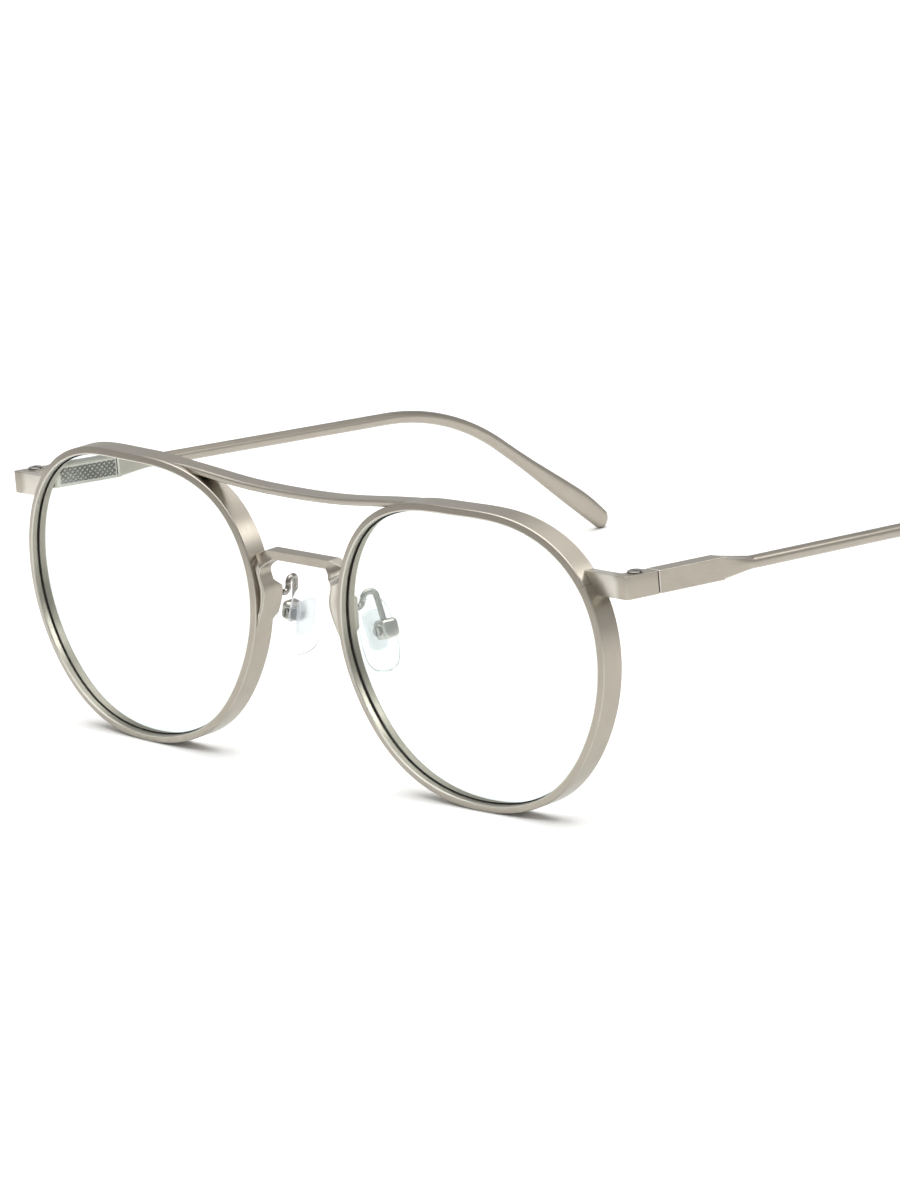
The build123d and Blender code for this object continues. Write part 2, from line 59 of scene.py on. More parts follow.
# Across the band, along its depth and corner radius, from the outer front corner round to the inner one
RIM_PROFILE = [
    (0, 0, 0.2), (0, RIM_DEPTH, 0.25), (RIM_BAND, RIM_DEPTH, 0.22),
    (RIM_BAND, GROOVE_AT + GROOVE_HALF, 0.06), (RIM_BAND - GROOVE_DEPTH, GROOVE_AT, 0.08),
    (RIM_BAND, GROOVE_AT - GROOVE_HALF, 0.06), (RIM_BAND, 0, 0.28),
]
# Height of the saw cut, and half its width as a share of one place on the outline
SAW_Z, SAW_SHARE = 38.735, 0.08

# The lenses
LENS_HALF, LENS_PLAY, LENS_STEP = 0.65, 0.02, 4
# The rings of a face from its middle out, and those of the bevel: past the band, behind the groove's middle
LENS_SHARES = [0.05, 0.15, 0.3, 0.45, 0.6, 0.72, 0.82, 0.9, 0.95, 0.985, 0.992, 1.0]
LENS_BEVEL = [(0.02, -0.32), (0.48, -0.05), (0.48, 0.05), (0.02, 0.32)]
LENS_AROUND = RIM_PLACES // LENS_STEP
# The ground edge, coloured as painted shade, runs from a narrow safety chamfer round the front face over
# the bevel to the back face
LENS_EDGE_FACES = range((len(LENS_SHARES) - 2) * LENS_AROUND, (len(LENS_SHARES) + 4) * LENS_AROUND)

# The end pieces and the hinge's seat in them
SIDE_X, SIDE_THICK = 70.0, 2.8
END_FRONT, END_HEIGHT, END_LOW_Z, END_PLATE, END_LENGTH = 6.86, 3.65, 36.96, 2.0, 6.9
END_INNER_X, END_SLANT, END_SOFT = 61.8, 1.2, 0.16
# Corner radii: outer front, outer back, inner back and the crook between the legs
END_RADII = (0.6, 0.12, 0.4, 0.35)
HINGE_X, HINGE_Y = 68.38, 10.46
SLOT_HALF, SLOT_ROOM, SLOT_INNER_X, SLOT_BACK_Y = 0.68, 1.06, 60.0, 20.0
SEAT_RADIUS, SEAT_DEPTH = 1.24, 0.17

# The temples
TEMPLE_SLOPE, TOE_IN = math.radians(5.2), math.radians(0.7)
BOX_START, BOX_LENGTH, BOX_HEIGHT, BOX_SOFT = 14.01, 14.1, 3.7, 0.2
NOTCH_LENGTH, NOTCH_HALF, NOTCH_DEPTH, NOTCH_INSET, NOTCH_PLAY = 12.3, 1.45, 0.5, 0.7, 0.02
PLATE_LENGTH, PLATE_HEIGHT, PLATE_THICK, PLATE_MARGIN = 12.1, 2.9, 0.5, 0.9
TAPER_LENGTH, TAPER_SINK, TAPER_LAP, TAPER_POWER = 7.2, 0.015, 0.02, 14
ROD_RADIUS, ROD_DOWN, ROD_LAP = 1.07, 0.25, 0.05
BEND_Y, BEND_RADIUS, EAR_SLOPE = 104.2, 50.0, math.radians(38.22)
SEAM_SHARE, TIP_Y = 0.5, 139.2
TIP_RADIUS, TIP_HALF_THICK, TIP_HALF_WIDTH = 1.12, 0.95, 2.1
TIP_BEND_ROWS, TIP_ROWS, TIP_CAP_ROWS, TIP_POWER, TIP_LEAST = 20, 50, 16, 2.5, 0.0004
# The end of the tip is cut away from above: by this much, from this share of its straight part on, and
# its round end falls by this share of what it narrows
TIP_NARROWING, TIP_TURN, TIP_FALL_SHARE = 0.35, 0.72, 0.2
# The length of its round end, which stays on the table
TIP_CAP = 1.76
TIP_FLARE = [(0.0, 0.0), (0.28, 0.14), (0.5, 0.46), (0.72, 0.76), (1.0, 1.0)]

# The top bar
BAR_FRONT, BAR_DEPTH, BAR_HEIGHT, BAR_LOW_Z, BAR_RISE, BAR_SPAN = 4.0, 3.2, 1.15, 46.12, 1.75, 30.0
BAR_SHARES = [(0.0, 0.0), (0.40, 0.20), (0.82, 0.84), (1.0, 1.0)]
BAR_SINK, BAR_LEAST, BAR_SOFT, BAR_SOFT_SHARE, BAR_STEP, BAR_ROWS = 0.45, 0.16, 0.42, 0.45, 0.1, 161

# The lower bridge
SADDLE_TOP, SADDLE_UNDER, SADDLE_ROWS = 35.65, 34.15, 13
# Height and how far back the front face lies there
BRIDGE_FRONT = [(20.8, 3.5), (32.95, 3.5), (34.15, 4.7), (35.7, 4.7)]
LEG_INNER = [(6.0, 34.15), (8.05, 32.05), (7.5, 29.85), (8.5, 25.3), (10.7, 20.8)]
# Height of the inner edge, and the outer edge's place beside it: over the shoulder and then down the rim
SHOULDER = [(33.0, 9.75, 34.5), (33.3, 9.0, 34.83), (34.15, 7.15, 35.65)]
RIM_SIDE = [(20.8, 20.8), (30.0, 30.1), (31.5, 32.4), (32.3, 34.0), (32.8, 34.5), (33.0, 34.5)]
LEG_BACK = [(20.8, 6.1), (22.25, 6.1), (24.45, 8.6), (29.15, 8.6), (30.35, 7.1), (35.7, 7.1)]
LEG_SINK, LEG_LEAST, LEG_ROWS, LEG_WAIST_Z, LEAN_RUN = 0.35, 0.2, 120, 30, 1.6
# The land, and the corners in front and behind: at most so wide, or this share of the leg's thickness
LEG_EDGES = [(0.7, 0.6), (0.12, 0.2), (0.21, 0.3)]
FRONT_SLANT, BACK_SLANT = 0.9, 1.0

# The nose pads
PAD_AT, PAD_SPLAY = Vector((10.8, 12.7, 23.25)), math.radians(12)
PAD_AWAY = Vector((math.cos(PAD_SPLAY), 0, math.sin(PAD_SPLAY)))
PAD_UP = Vector((-math.sin(PAD_SPLAY), 0, math.cos(PAD_SPLAY)))
PAD_GAP, PAD_WIDTH, PAD_LENGTH, PAD_DROP, PAD_BACK = 1.45, 6.4, 12.0, 0.8, 0.2
PAD_SIDES, PAD_POWER, PAD_EGG = 56, 2.6, 0.12
# Share of the full outline and height there, from the back to the dome
PAD_LEVELS = [(0.86, 0.0), (0.95, 0.06), (1.0, 0.25), (1.0, 0.7), (0.985, 1.2), (0.94, 1.65), (0.85, 2.0),
              (0.7, 2.22), (0.45, 2.36), (0.15, 2.4)]

# The pad boxes, and the height and growth of their outline over the outside and into the opening
CUP_HALF_DEPTH, CUP_HALF_HEIGHT, CUP_CORNER = 1.6, 1.55, 0.75
CUP_LEVELS = [(1.5, -0.5), (1.44, -0.26), (1.28, -0.09), (1.0, 0.0), (-0.75, 0.0), (-0.93, -0.08),
              (-1.0, -0.22), (-1.0, -0.45), (0.2, -0.5)]

# The pad arms
ARM_ROOT, ARM_HEEL, ARM_PEAK_Z, ARM_END = Vector((8.9, 8.6, 27.6)), Vector((8.9, 9.9, 27.6)), 29.7, 1.2
ARM_BENDS, ARM_STEPS, ARM_RADIUS = (0.75, 1.3, 1.3), 10, 0.5


def to_row(point):
    """A bench point in millimetres as a row point in metres."""
    return (Vector(point) + ROW_SHIFT) * MM


def middle_z(y):
    """Height of the middle line of the end piece's side and of the temple's box."""
    return END_LOW_Z + END_HEIGHT / 2 - math.tan(TEMPLE_SLOPE) * (y - END_FRONT)


def smooth_loop(points, count):
    """count evenly spaced points on the smooth closed curve through points."""
    p = np.array(points, float)
    n = len(p)
    h = np.linalg.norm(np.roll(p, -1, 0) - p, axis=1)
    before = np.roll(h, 1)
    system = np.zeros((n, n))
    for i in range(n):
        system[i, i - 1] += before[i]
        system[i, i] += 2 * (before[i] + h[i])
        system[i, (i + 1) % n] += h[i]
    slope = (np.roll(p, -1, 0) - p) / h[:, None]
    bend = np.linalg.solve(system, 6 * (slope - np.roll(slope, 1, 0)))
    fine = []
    for i in range(n):
        j = (i + 1) % n
        for b in np.linspace(0, 1, CURVE_STEPS, endpoint=False):
            a = 1 - b
            fine.append(a * p[i] + b * p[j] + ((a**3 - a) * bend[i] + (b**3 - b) * bend[j]) * h[i] ** 2 / 6)
    fine = np.vstack([fine, fine[:1]])
    run = np.concatenate([[0], np.cumsum(np.linalg.norm(np.diff(fine, axis=0), axis=1))])
    at = np.linspace(0, run[-1], count, endpoint=False)
    return np.stack([np.interp(at, run, fine[:, k]) for k in (0, 1)], axis=1)


def smooth_through(points):
    """A natural smooth curve z(x) through points, as a function."""
    x, z = np.array(points, float).T
    n, h = len(x), np.diff(x)
    system, right = np.eye(n), np.zeros(n)
    for i in range(1, n - 1):
        system[i, i - 1:i + 2] = h[i - 1], 2 * (h[i - 1] + h[i]), h[i]
        right[i] = 6 * ((z[i + 1] - z[i]) / h[i] - (z[i] - z[i - 1]) / h[i - 1])
    bend = np.linalg.solve(system, right)

    def at(value):
        i = int(np.clip(np.searchsorted(x, value) - 1, 0, n - 2))
        b = (value - x[i]) / h[i]
        a = 1 - b
        return a * z[i] + b * z[i + 1] + ((a**3 - a) * bend[i] + (b**3 - b) * bend[i + 1]) * h[i] ** 2 / 6

    return at


def squared(angle, half_a, half_b, power):
    """A point of a round outline, squarer with a higher power than 2."""
    c, s = math.cos(angle), math.sin(angle)
    return [math.copysign(abs(part) ** (2 / power), part) * half for part, half in ((c, half_a), (s, half_b))]


def rounded(corners, steps=4, hold=0.03):
    """Outline through (a, b, radius) corners, with an arc at each. A point beside each end of an arc keeps
    the flats flat."""
    points = []
    for i, (a, b, radius) in enumerate(corners):
        here = Vector((a, b))
        to_last = (Vector(corners[i - 1][:2]) - here).normalized()
        to_next = (Vector(corners[(i + 1) % len(corners)][:2]) - here).normalized()
        if radius <= 0:
            points.append(here)
            continue
        half = to_last.angle(to_next) / 2
        reach = radius / math.tan(half)
        centre = here + (to_last + to_next).normalized() * (radius / math.sin(half))
        start, end = here + to_last * reach - centre, here + to_next * reach - centre
        turn = start.angle_signed(end)
        points.append(centre + start + to_last * hold)
        for k in range(steps + 1):
            points.append(centre + Matrix.Rotation(-turn * k / steps, 2) @ start)
        points.append(centre + end + to_next * hold)
    return points


def rows_shape(rows, caps=True):
    """Corners, faces and face maps of a skin over rings of points. The map is in metres, along and round."""
    count, around = len(rows), len(rows[0])
    verts = [p for row in rows for p in row]
    middle = [sum((Vector(p) for p in row), Vector()) / around for row in rows]
    along, side = [0.0], [0.0]
    for last, here in zip(middle, middle[1:]):
        along.append(along[-1] + (here - last).length * MM)
    ring = rows[count // 2]
    for j in range(1, around + 1):
        side.append(side[-1] + (Vector(ring[j % around]) - Vector(ring[j - 1])).length * MM)
    faces, maps = [], []
    for i in range(count - 1):
        for j in range(around):
            a, b = i * around + j, i * around + (j + 1) % around
            faces.append((a, b, b + around, a + around))
            maps.append([(along[i], side[j]), (along[i], side[j + 1]),
                         (along[i + 1], side[j + 1]), (along[i + 1], side[j])])
    if caps:
        for start in (0, (count - 1) * around):
            faces.append(tuple(range(start, start + around)))
            maps.append([(side[j], 0.0) for j in range(around)])
    return verts, faces, maps


def prism(plan, low, high, level):
    """A prism on a plan of (x, y) points, from low to high about the level at each y."""
    count = len(plan)
    verts = [(x, y, level(y) + height) for height in (low, high) for x, y in plan]
    faces = [tuple(range(count)), tuple(range(count, 2 * count))]
    faces += [(i, (i + 1) % count, count + (i + 1) % count, count + i) for i in range(count)]
    return verts, faces, [[(0.0, 0.0)] * len(face) for face in faces]


def drum(x, y, z_low, z_high, radius, sides=48):
    """An upright drum in bench millimetres."""
    angles = [2 * math.pi * k / sides for k in range(sides)]
    return rows_shape([[(x + radius * math.cos(a), y + radius * math.sin(a), z) for a in angles]
                       for z in (z_low, z_high)])


def mirrored(shape):
    """The same shape for the wearer's right."""
    verts, faces, maps = shape
    return [(-p[0], p[1], p[2]) for p in verts], [tuple(reversed(f)) for f in faces], [m[::-1] for m in maps]


SIDES = (("left", lambda shape: shape), ("right", mirrored))


def to_scene(name, data):
    """An object for a mesh, lamp or camera, linked to the scene."""
    obj = bpy.data.objects.new(name, data)
    bpy.context.scene.collection.objects.link(obj)
    return obj


def finish_mesh(obj, sharp, highlight_edges=True):
    """Merges doubles, turns faces outwards, marks the edges over the sharp angle and keeps how far each long
    edge stands out, as the mask for the painted highlight on outer edges."""
    bm = bmesh.new()
    bm.from_mesh(obj.data)
    bmesh.ops.remove_doubles(bm, verts=bm.verts, dist=MERGE)
    bmesh.ops.recalc_face_normals(bm, faces=bm.faces)
    for face in bm.faces:
        face.smooth = True
    # How far each edge stands out, the mask for the painted highlight on outer edges
    painted_highlight = bm.verts.layers.float.new("painted_highlight")
    for edge in bm.edges:
        edge.smooth = edge.calc_face_angle(0) < math.radians(sharp)
        if highlight_edges and all(len(face.verts) == 4 for face in edge.link_faces):
            for vert in edge.verts:
                vert[painted_highlight] = max(vert[painted_highlight], edge.calc_face_angle_signed(0))
    bm.to_mesh(obj.data)
    bm.free()


def add_mesh(name, shape, materials, sharp=50, second=()):
    """An object from a shape in bench millimetres. The faces numbered in second get the second material."""
    verts, faces, maps = shape
    mesh = bpy.data.meshes.new(name)
    mesh.from_pydata([to_row(p) for p in verts], [], faces)
    layer = mesh.uv_layers.new(name="along")
    layer.data.foreach_set("uv", np.array([uv for face in maps for uv in face], np.float32).ravel())
    for material in materials:
        mesh.materials.append(material)
    for i in second:
        mesh.polygons[i].material_index = 1
    obj = to_scene(name, mesh)
    finish_mesh(obj, sharp)
    return obj


def bake(obj):
    """Turns the object's modifiers into its plain mesh."""
    graph = bpy.context.evaluated_depsgraph_get()
    mesh = bpy.data.meshes.new_from_object(obj.evaluated_get(graph), preserve_all_data_layers=True,
                                           depsgraph=graph)
    obj.modifiers.clear()
    obj.data = mesh
    return obj


def cut(obj, *tools):
    """Takes the tools out of the object and removes them."""
    for tool in tools:
        change = obj.modifiers.new("cut", "BOOLEAN")
        change.operation, change.solver, change.object = "DIFFERENCE", "EXACT", tool
        bake(obj)
        bpy.data.objects.remove(tool)


def soften(obj, width_mm, segments=3, angle=40):
    """Rounds the object's sharp edges."""
    change = obj.modifiers.new("soften", "BEVEL")
    change.width, change.segments, change.angle_limit = width_mm * MM, segments, math.radians(angle)
    change.limit_method = "ANGLE"
    change.harden_normals = False
    bake(obj)


def settle(obj, body, slot, *nodes):
    """Puts a finished piece on its body in place of its solids. Its slot is not used."""
    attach(obj, body)
    if nodes:
        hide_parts(*nodes)


# Finishes ----------

RGB = {"data_type": "RGBA"}
# Painted highlight colour for outer edges, and painted shade colour for the knurl's grooves
PAINTED_EDGE_HIGHLIGHT, GROOVE_PAINTED_SHADE = "#cfcbc2", "#2e2b27"
# Brushed lines are this many times longer than they are wide, and count for this share of the colour
LINE_STRETCH, LINE_SHARE = 25, 0.6
# Width of the clouds in the plating and of its surface grain
CLOUD_MM, GRAIN_MM = 4.545, 0.1923
# An edge gets the painted highlight from the first angle on, and all of it at the second
HIGHLIGHT_FROM, HIGHLIGHT_FULL, HIGHLIGHT_SHARE = math.radians(13), math.radians(26), 0.75
METAL_SPREAD, PLASTIC_SPREAD, PLASTIC_GRAIN_DEPTH = 0.05, 0.08, 0.01


def put(tree, kind, settings=None, **inputs):
    """Adds a node with its settings, and sets or links its inputs by name or number."""
    node = tree.nodes.new(kind)
    for key, value in (settings or {}).items():
        setattr(node, key, value)
    for key, value in inputs.items():
        socket = node.inputs[int(key[1:]) if key[1:].isdigit() else key.replace("_", " ")]
        if isinstance(value, bpy.types.NodeSocket):
            tree.links.new(value, socket)
        else:
            socket.default_value = value
    return node


def linear(code):
    """An sRGB hex colour as a linear one."""
    parts = [int(code[i:i + 2], 16) / 255 for i in (1, 3, 5)]
    return tuple(c / 12.92 if c <= 0.04045 else ((c + 0.055) / 1.055) ** 2.4 for c in parts) + (1.0,)


def new_material(name):
    """A material with an empty tree and its output."""
    material = bpy.data.materials.new(name)
    material.use_nodes = True
    material.node_tree.nodes.clear()
    return material, material.node_tree, material.node_tree.nodes.new("ShaderNodeOutputMaterial")


def satin_metal(name, dark, light, rough, line_mm, depth_mm, source="UV"):
    """Plated nickel alloy, drawn or stamped and then brushed: fine lines along it blur its reflections, broad
    faint clouds break up the colour, outer edges get a painted highlight and grooves a painted shade."""
    material, tree, out = new_material(name)
    coords = put(tree, "ShaderNodeTexCoord")
    line = line_mm * MM
    lines_map = put(tree, "ShaderNodeMapping", Vector=coords.outputs[source],
                    Scale=(1 / (LINE_STRETCH * line), 1 / line, 1 / line))
    lines = put(tree, "ShaderNodeTexNoise", Vector=lines_map.outputs[0], Scale=1.0, Detail=3.0, Roughness=0.6)
    clouds, grain = (put(tree, "ShaderNodeTexNoise", Vector=coords.outputs["Object"], Scale=1 / (width * MM),
                         Detail=detail) for width, detail in ((CLOUD_MM, 4.0), (GRAIN_MM, 2.0)))
    cloudy = put(tree, "ShaderNodeMath", {"operation": "MULTIPLY"}, _0=clouds.outputs[0], _1=1 - LINE_SHARE)
    blend = put(tree, "ShaderNodeMath", {"operation": "MULTIPLY_ADD"}, _0=lines.outputs[0], _1=LINE_SHARE,
                _2=cloudy.outputs[0])
    colour = put(tree, "ShaderNodeMix", RGB, _0=blend.outputs[0], _6=linear(dark), _7=linear(light))
    # Painted highlight: outer edges are lightened by how far they stand out
    corner = put(tree, "ShaderNodeAttribute", {"attribute_name": "painted_highlight"})
    edge = put(tree, "ShaderNodeMapRange", Value=corner.outputs["Fac"], From_Min=HIGHLIGHT_FROM, From_Max=HIGHLIGHT_FULL,
               To_Max=HIGHLIGHT_SHARE)
    painted_highlight = put(tree, "ShaderNodeMix", RGB, _0=edge.outputs[0], _6=colour.outputs[2], _7=linear(PAINTED_EDGE_HIGHLIGHT))
    # Painted shade: the knurl's grooves are darkened by the sunk attribute
    groove = put(tree, "ShaderNodeAttribute", {"attribute_name": "sunk"})
    shaded = put(tree, "ShaderNodeMix", RGB, _0=groove.outputs["Fac"], _6=painted_highlight.outputs[2],
                 _7=linear(GROOVE_PAINTED_SHADE))
    gloss = put(tree, "ShaderNodeMapRange", Value=blend.outputs[0], From_Min=0.3, From_Max=0.7,
                To_Min=rough + METAL_SPREAD, To_Max=rough - METAL_SPREAD)
    height = put(tree, "ShaderNodeMath", {"operation": "ADD"}, _0=lines.outputs[0], _1=grain.outputs[0])
    bump = put(tree, "ShaderNodeBump", Strength=0.35, Distance=depth_mm * MM, Height=height.outputs[0])
    shader = put(tree, "ShaderNodeBsdfPrincipled", Base_Color=shaded.outputs[2], Metallic=1.0,
                 Roughness=gloss.outputs[0], Normal=bump.outputs[0])
    tree.links.new(shader.outputs[0], out.inputs[0])
    return material


def clear_glass(name, tint, ior, rough, wave_mm, wave_depth):
    """Clear stock that lets lamps through. A slow ripple keeps its reflections from being perfect."""
    material, tree, out = new_material(name)
    coords = put(tree, "ShaderNodeTexCoord")
    ripple = put(tree, "ShaderNodeTexNoise", Vector=coords.outputs["Object"], Scale=1 / (wave_mm * MM),
                 Detail=2.0)
    bump = put(tree, "ShaderNodeBump", Strength=0.2, Distance=wave_depth * MM, Height=ripple.outputs[0])
    blur = put(tree, "ShaderNodeMapRange", Value=ripple.outputs[0], To_Min=rough, To_Max=rough * 1.5)
    glass = put(tree, "ShaderNodeBsdfGlass", Color=linear(tint), IOR=ior, Roughness=blur.outputs[0],
                Normal=bump.outputs[0])
    clear = put(tree, "ShaderNodeBsdfTransparent", Color=linear(tint))
    path = put(tree, "ShaderNodeLightPath")
    mix = put(tree, "ShaderNodeMixShader", _0=path.outputs["Is Shadow Ray"], _1=glass.outputs[0],
              _2=clear.outputs[0])
    tree.links.new(mix.outputs[0], out.inputs[0])
    return material


def moulded_plastic(name, dark, light, rough, grain_mm, cover=1.0):
    """Injection-moulded plastic with a fine matt grain. A low cover lets what is behind it show."""
    material, tree, out = new_material(name)
    coords = put(tree, "ShaderNodeTexCoord")
    grain = put(tree, "ShaderNodeTexNoise", Vector=coords.outputs["Object"], Scale=1 / (grain_mm * MM),
                Detail=3.0)
    colour = put(tree, "ShaderNodeMix", RGB, _0=grain.outputs[0], _6=linear(dark), _7=linear(light))
    gloss = put(tree, "ShaderNodeMapRange", Value=grain.outputs[0], To_Min=rough - PLASTIC_SPREAD,
                To_Max=rough + PLASTIC_SPREAD)
    bump = put(tree, "ShaderNodeBump", Strength=0.3, Distance=PLASTIC_GRAIN_DEPTH * MM,
               Height=grain.outputs[0])
    shader = put(tree, "ShaderNodeBsdfPrincipled", Base_Color=colour.outputs[2], Roughness=gloss.outputs[0],
                 Normal=bump.outputs[0], Alpha=cover)
    tree.links.new(shader.outputs[0], out.inputs[0])
    return material


# Nickel-copper frame parts under a satin pewter-grey nickel plating. The real brushing is about 0.02 mm wide,
# too fine to show, so its lines are drawn 0.12 mm wide.
PLATING = ("#979085", "#ada69b", 0.33, 0.12, 0.004)
brushed_plating = satin_metal("brushed_pewter_plating", *PLATING)
# The same plating where a CAD solid is kept, which has no map along it: the lines follow the front's width.
plain_plating = satin_metal("satin_pewter_plating", *PLATING, "Object")
# Rolled diamond knurl on the temple plates: sharper and brighter than the brushed faces round it.
knurled_plating = satin_metal("rolled_knurl_pewter_plating", "#a09b91", "#bab5ab", 0.3, 0.25, 0.001, "Object")
# Bright drawn nickel silver wire and cast pad boxes, polished before plating, so reflections are crisper.
polished_wire = satin_metal("polished_nickel_silver_wire", "#7d7973", "#aaa69f", 0.2, 0.2, 0.002, "Object")
# Turned stainless steel screws, bright with fine turning marks.
turned_steel = satin_metal("turned_stainless_steel", "#6e6b66", "#aeaba5", 0.2, 0.08, 0.004, "Object")
# Hard resin lens stock, cast and polished.
lens_resin = clear_glass("cast_lens_resin", "#f6faf9", 1.5, 0.01, 9.0, 0.001)
# Moulded clear silicone: its soft skin blurs what is seen through it.
pad_silicone = clear_glass("moulded_clear_silicone", "#fcfdfe", 1.12, 0.16, 1.5, 0.01)
# Ground lens edge: matt, and coloured near black as painted shade for the dark line where the lens sits in
# the groove, because no light comes back out of it.
painted_shade_lens_edge = moulded_plastic("lens_edge_painted_shade", "#040406", "#0b0b12", 0.7, 0.2)
# Moulded nylon hinge washers, off-white and slightly waxy.
nylon = moulded_plastic("moulded_nylon", "#d8d6cf", "#e8e6e0", 0.45, 0.3)
# The clear stem inside each pad, a harder plastic with a moulded skin that turns it faintly milky.
stem_plastic = moulded_plastic("moulded_clear_polycarbonate", "#dfe4e6", "#eef1f2", 0.3, 0.4, 0.4)


# The rims and lenses ----------

def outward(loop):
    """Unit normals of a closed loop of (x, z) points, away from its middle."""
    step = np.roll(loop, -1, 0) - np.roll(loop, 1, 0)
    normal = np.stack([step[:, 1], -step[:, 0]], axis=1)
    normal /= np.linalg.norm(normal, axis=1)[:, None]
    return normal * np.sign(((loop - loop.mean(0)) * normal).sum(1).mean())


# The left rim's outer edge in the front plane, as (x, z) points from the temple side over the top
RIM_LOOP = smooth_loop([(RIM_X + u * RIM_HALF_WIDTH, RIM_Z + v * RIM_HALF_HEIGHT) for u, v in OUTLINE],
                       RIM_PLACES)
RIM_NORMAL = outward(RIM_LOOP)


def sphere_y(x, z, depth):
    """How far back the front's sphere, or one depth behind it, lies at (x, z)."""
    away = (x - SPHERE_X) ** 2 + (z - RIM_Z) ** 2
    return BASE_RADIUS - math.sqrt((BASE_RADIUS - depth) ** 2 - away)


def rim_point(i, inset, depth):
    """The point of the rim at outline place i, inset from the outer edge, depth behind the front."""
    first = math.floor(i)
    a, b, share = first % RIM_PLACES, (first + 1) % RIM_PLACES, i - first
    edge = RIM_LOOP[a] * (1 - share) + RIM_LOOP[b] * share
    x, z = edge - (RIM_NORMAL[a] * (1 - share) + RIM_NORMAL[b] * share) * inset
    return (x, sphere_y(x, z, depth), z)


def rim_shape():
    """The rim: a rounded band with the lens groove, sawn through behind the end piece."""
    profile = rounded(RIM_PROFILE)
    temple_side = [i for i in range(RIM_PLACES) if RIM_LOOP[i][0] >= RIM_X]
    saw = min(temple_side, key=lambda i: abs(RIM_LOOP[i][1] - SAW_Z))
    places = [saw + SAW_SHARE, *range(saw + 1, saw + RIM_PLACES), saw + RIM_PLACES - SAW_SHARE]
    return rows_shape([[rim_point(i, inset, depth) for inset, depth in profile] for i in places])


def lens_ring(share, inset, depth):
    """A ring of the lens at a share of the way out to its edge."""
    points, centre = [], np.array([RIM_X, RIM_Z])
    for i in range(0, RIM_PLACES, LENS_STEP):
        x, z = centre + (RIM_LOOP[i] - RIM_NORMAL[i] * inset - centre) * share
        points.append((x, sphere_y(x, z, depth), z))
    return points


def lens_shape():
    """The lens: two curved faces and a bevel that sits in the groove, and last the middles of the faces."""
    front, back = GROOVE_AT - LENS_HALF, GROOVE_AT + LENS_HALF
    rings = [lens_ring(share, RIM_BAND + LENS_PLAY, front) for share in LENS_SHARES]
    rings += [lens_ring(1, RIM_BAND - past, GROOVE_AT + behind) for past, behind in LENS_BEVEL]
    rings += [lens_ring(share, RIM_BAND + LENS_PLAY, back) for share in reversed(LENS_SHARES)]
    verts, faces, maps = rows_shape(rings, caps=False)
    for start, depth in ((0, front), ((len(rings) - 1) * LENS_AROUND, back)):
        verts.append((RIM_X, sphere_y(RIM_X, RIM_Z, depth), RIM_Z))
        for j in range(LENS_AROUND):
            faces.append((start + j, start + (j + 1) % LENS_AROUND, len(verts) - 1))
            maps.append([(0.0, 0.0)] * 3)
    return verts, faces, maps


# The top bar and the bridge ----------

def rim_edge(value, axis):
    """The rim's outer edge: its height above x = value on axis 0, or its x towards the nose at z = value."""
    part = RIM_LOOP[RIM_LOOP[:, 1] > RIM_Z] if axis == 0 else RIM_LOOP[RIM_LOOP[:, 0] < RIM_X]
    part = part[np.argsort(part[:, axis])]
    return float(np.interp(value, part[:, axis], part[:, 1 - axis]))


def bar_shape():
    """The top bar: a softly rounded strip on one curve, which runs out on the rims' tops."""
    half = [(share * BAR_SPAN, BAR_LOW_Z + rise * BAR_RISE) for share, rise in BAR_SHARES]
    top_z = smooth_through([(-x, z) for x, z in reversed(half[1:])] + half)
    reach, back = RIM_INNER, BAR_FRONT + BAR_DEPTH
    while top_z(reach) > rim_edge(reach, 0) - BAR_SINK + BAR_LEAST or reach < BAR_SPAN / 2:
        reach += BAR_STEP
    rows = []
    for x in np.linspace(-reach, reach, BAR_ROWS):
        high = top_z(x)
        low = high - BAR_HEIGHT
        if abs(x) > RIM_INNER:
            low = max(low, rim_edge(abs(x), 0) - BAR_SINK)
        low = min(low, high - BAR_LEAST)
        soft = min(BAR_SOFT, (high - low) * BAR_SOFT_SHARE)
        ring = rounded([(BAR_FRONT, low, soft), (BAR_FRONT, high, soft), (back, high, soft),
                        (back, low, soft)], 5, 0.01)
        rows.append([(x, y, z) for y, z in ring])
    return rows_shape(rows)


def bridge_sections():
    """Inner and outer edge of the bridge and how far it has turned into a leg, from its middle to one end."""
    run = [0.0]
    for a, b in zip(LEG_INNER, LEG_INNER[1:]):
        run.append(run[-1] + math.dist(a, b))
    inner_x, inner_z = (smooth_through([(t, p[k]) for t, p in zip(run, LEG_INNER)]) for k in (0, 1))
    level, side_z = zip(*RIM_SIDE)
    over, over_x, over_z = zip(*SHOULDER)
    flat = LEG_INNER[0][0]
    sections = [((x, SADDLE_UNDER), (x * over_x[-1] / flat, SADDLE_TOP), 0.0)
                for x in np.linspace(0, flat, SADDLE_ROWS)[:-1]]
    for t in np.linspace(0, run[-1], LEG_ROWS):
        x, z = inner_x(t), min(inner_z(t), SADDLE_UNDER)
        if z >= over[0]:
            outer = (float(np.interp(z, over, over_x)), float(np.interp(z, over, over_z)))
        else:
            height = float(np.interp(z, level, side_z))
            outer = (rim_edge(height, 1) + LEG_SINK, height)
        if outer[0] - x < LEG_LEAST and z < LEG_WAIST_Z:
            break
        lean = float(np.clip((SADDLE_UNDER - z) / LEAN_RUN, 0, 1))
        sections.append(((x, z), outer, lean * lean * (3 - 2 * lean)))
    return sections


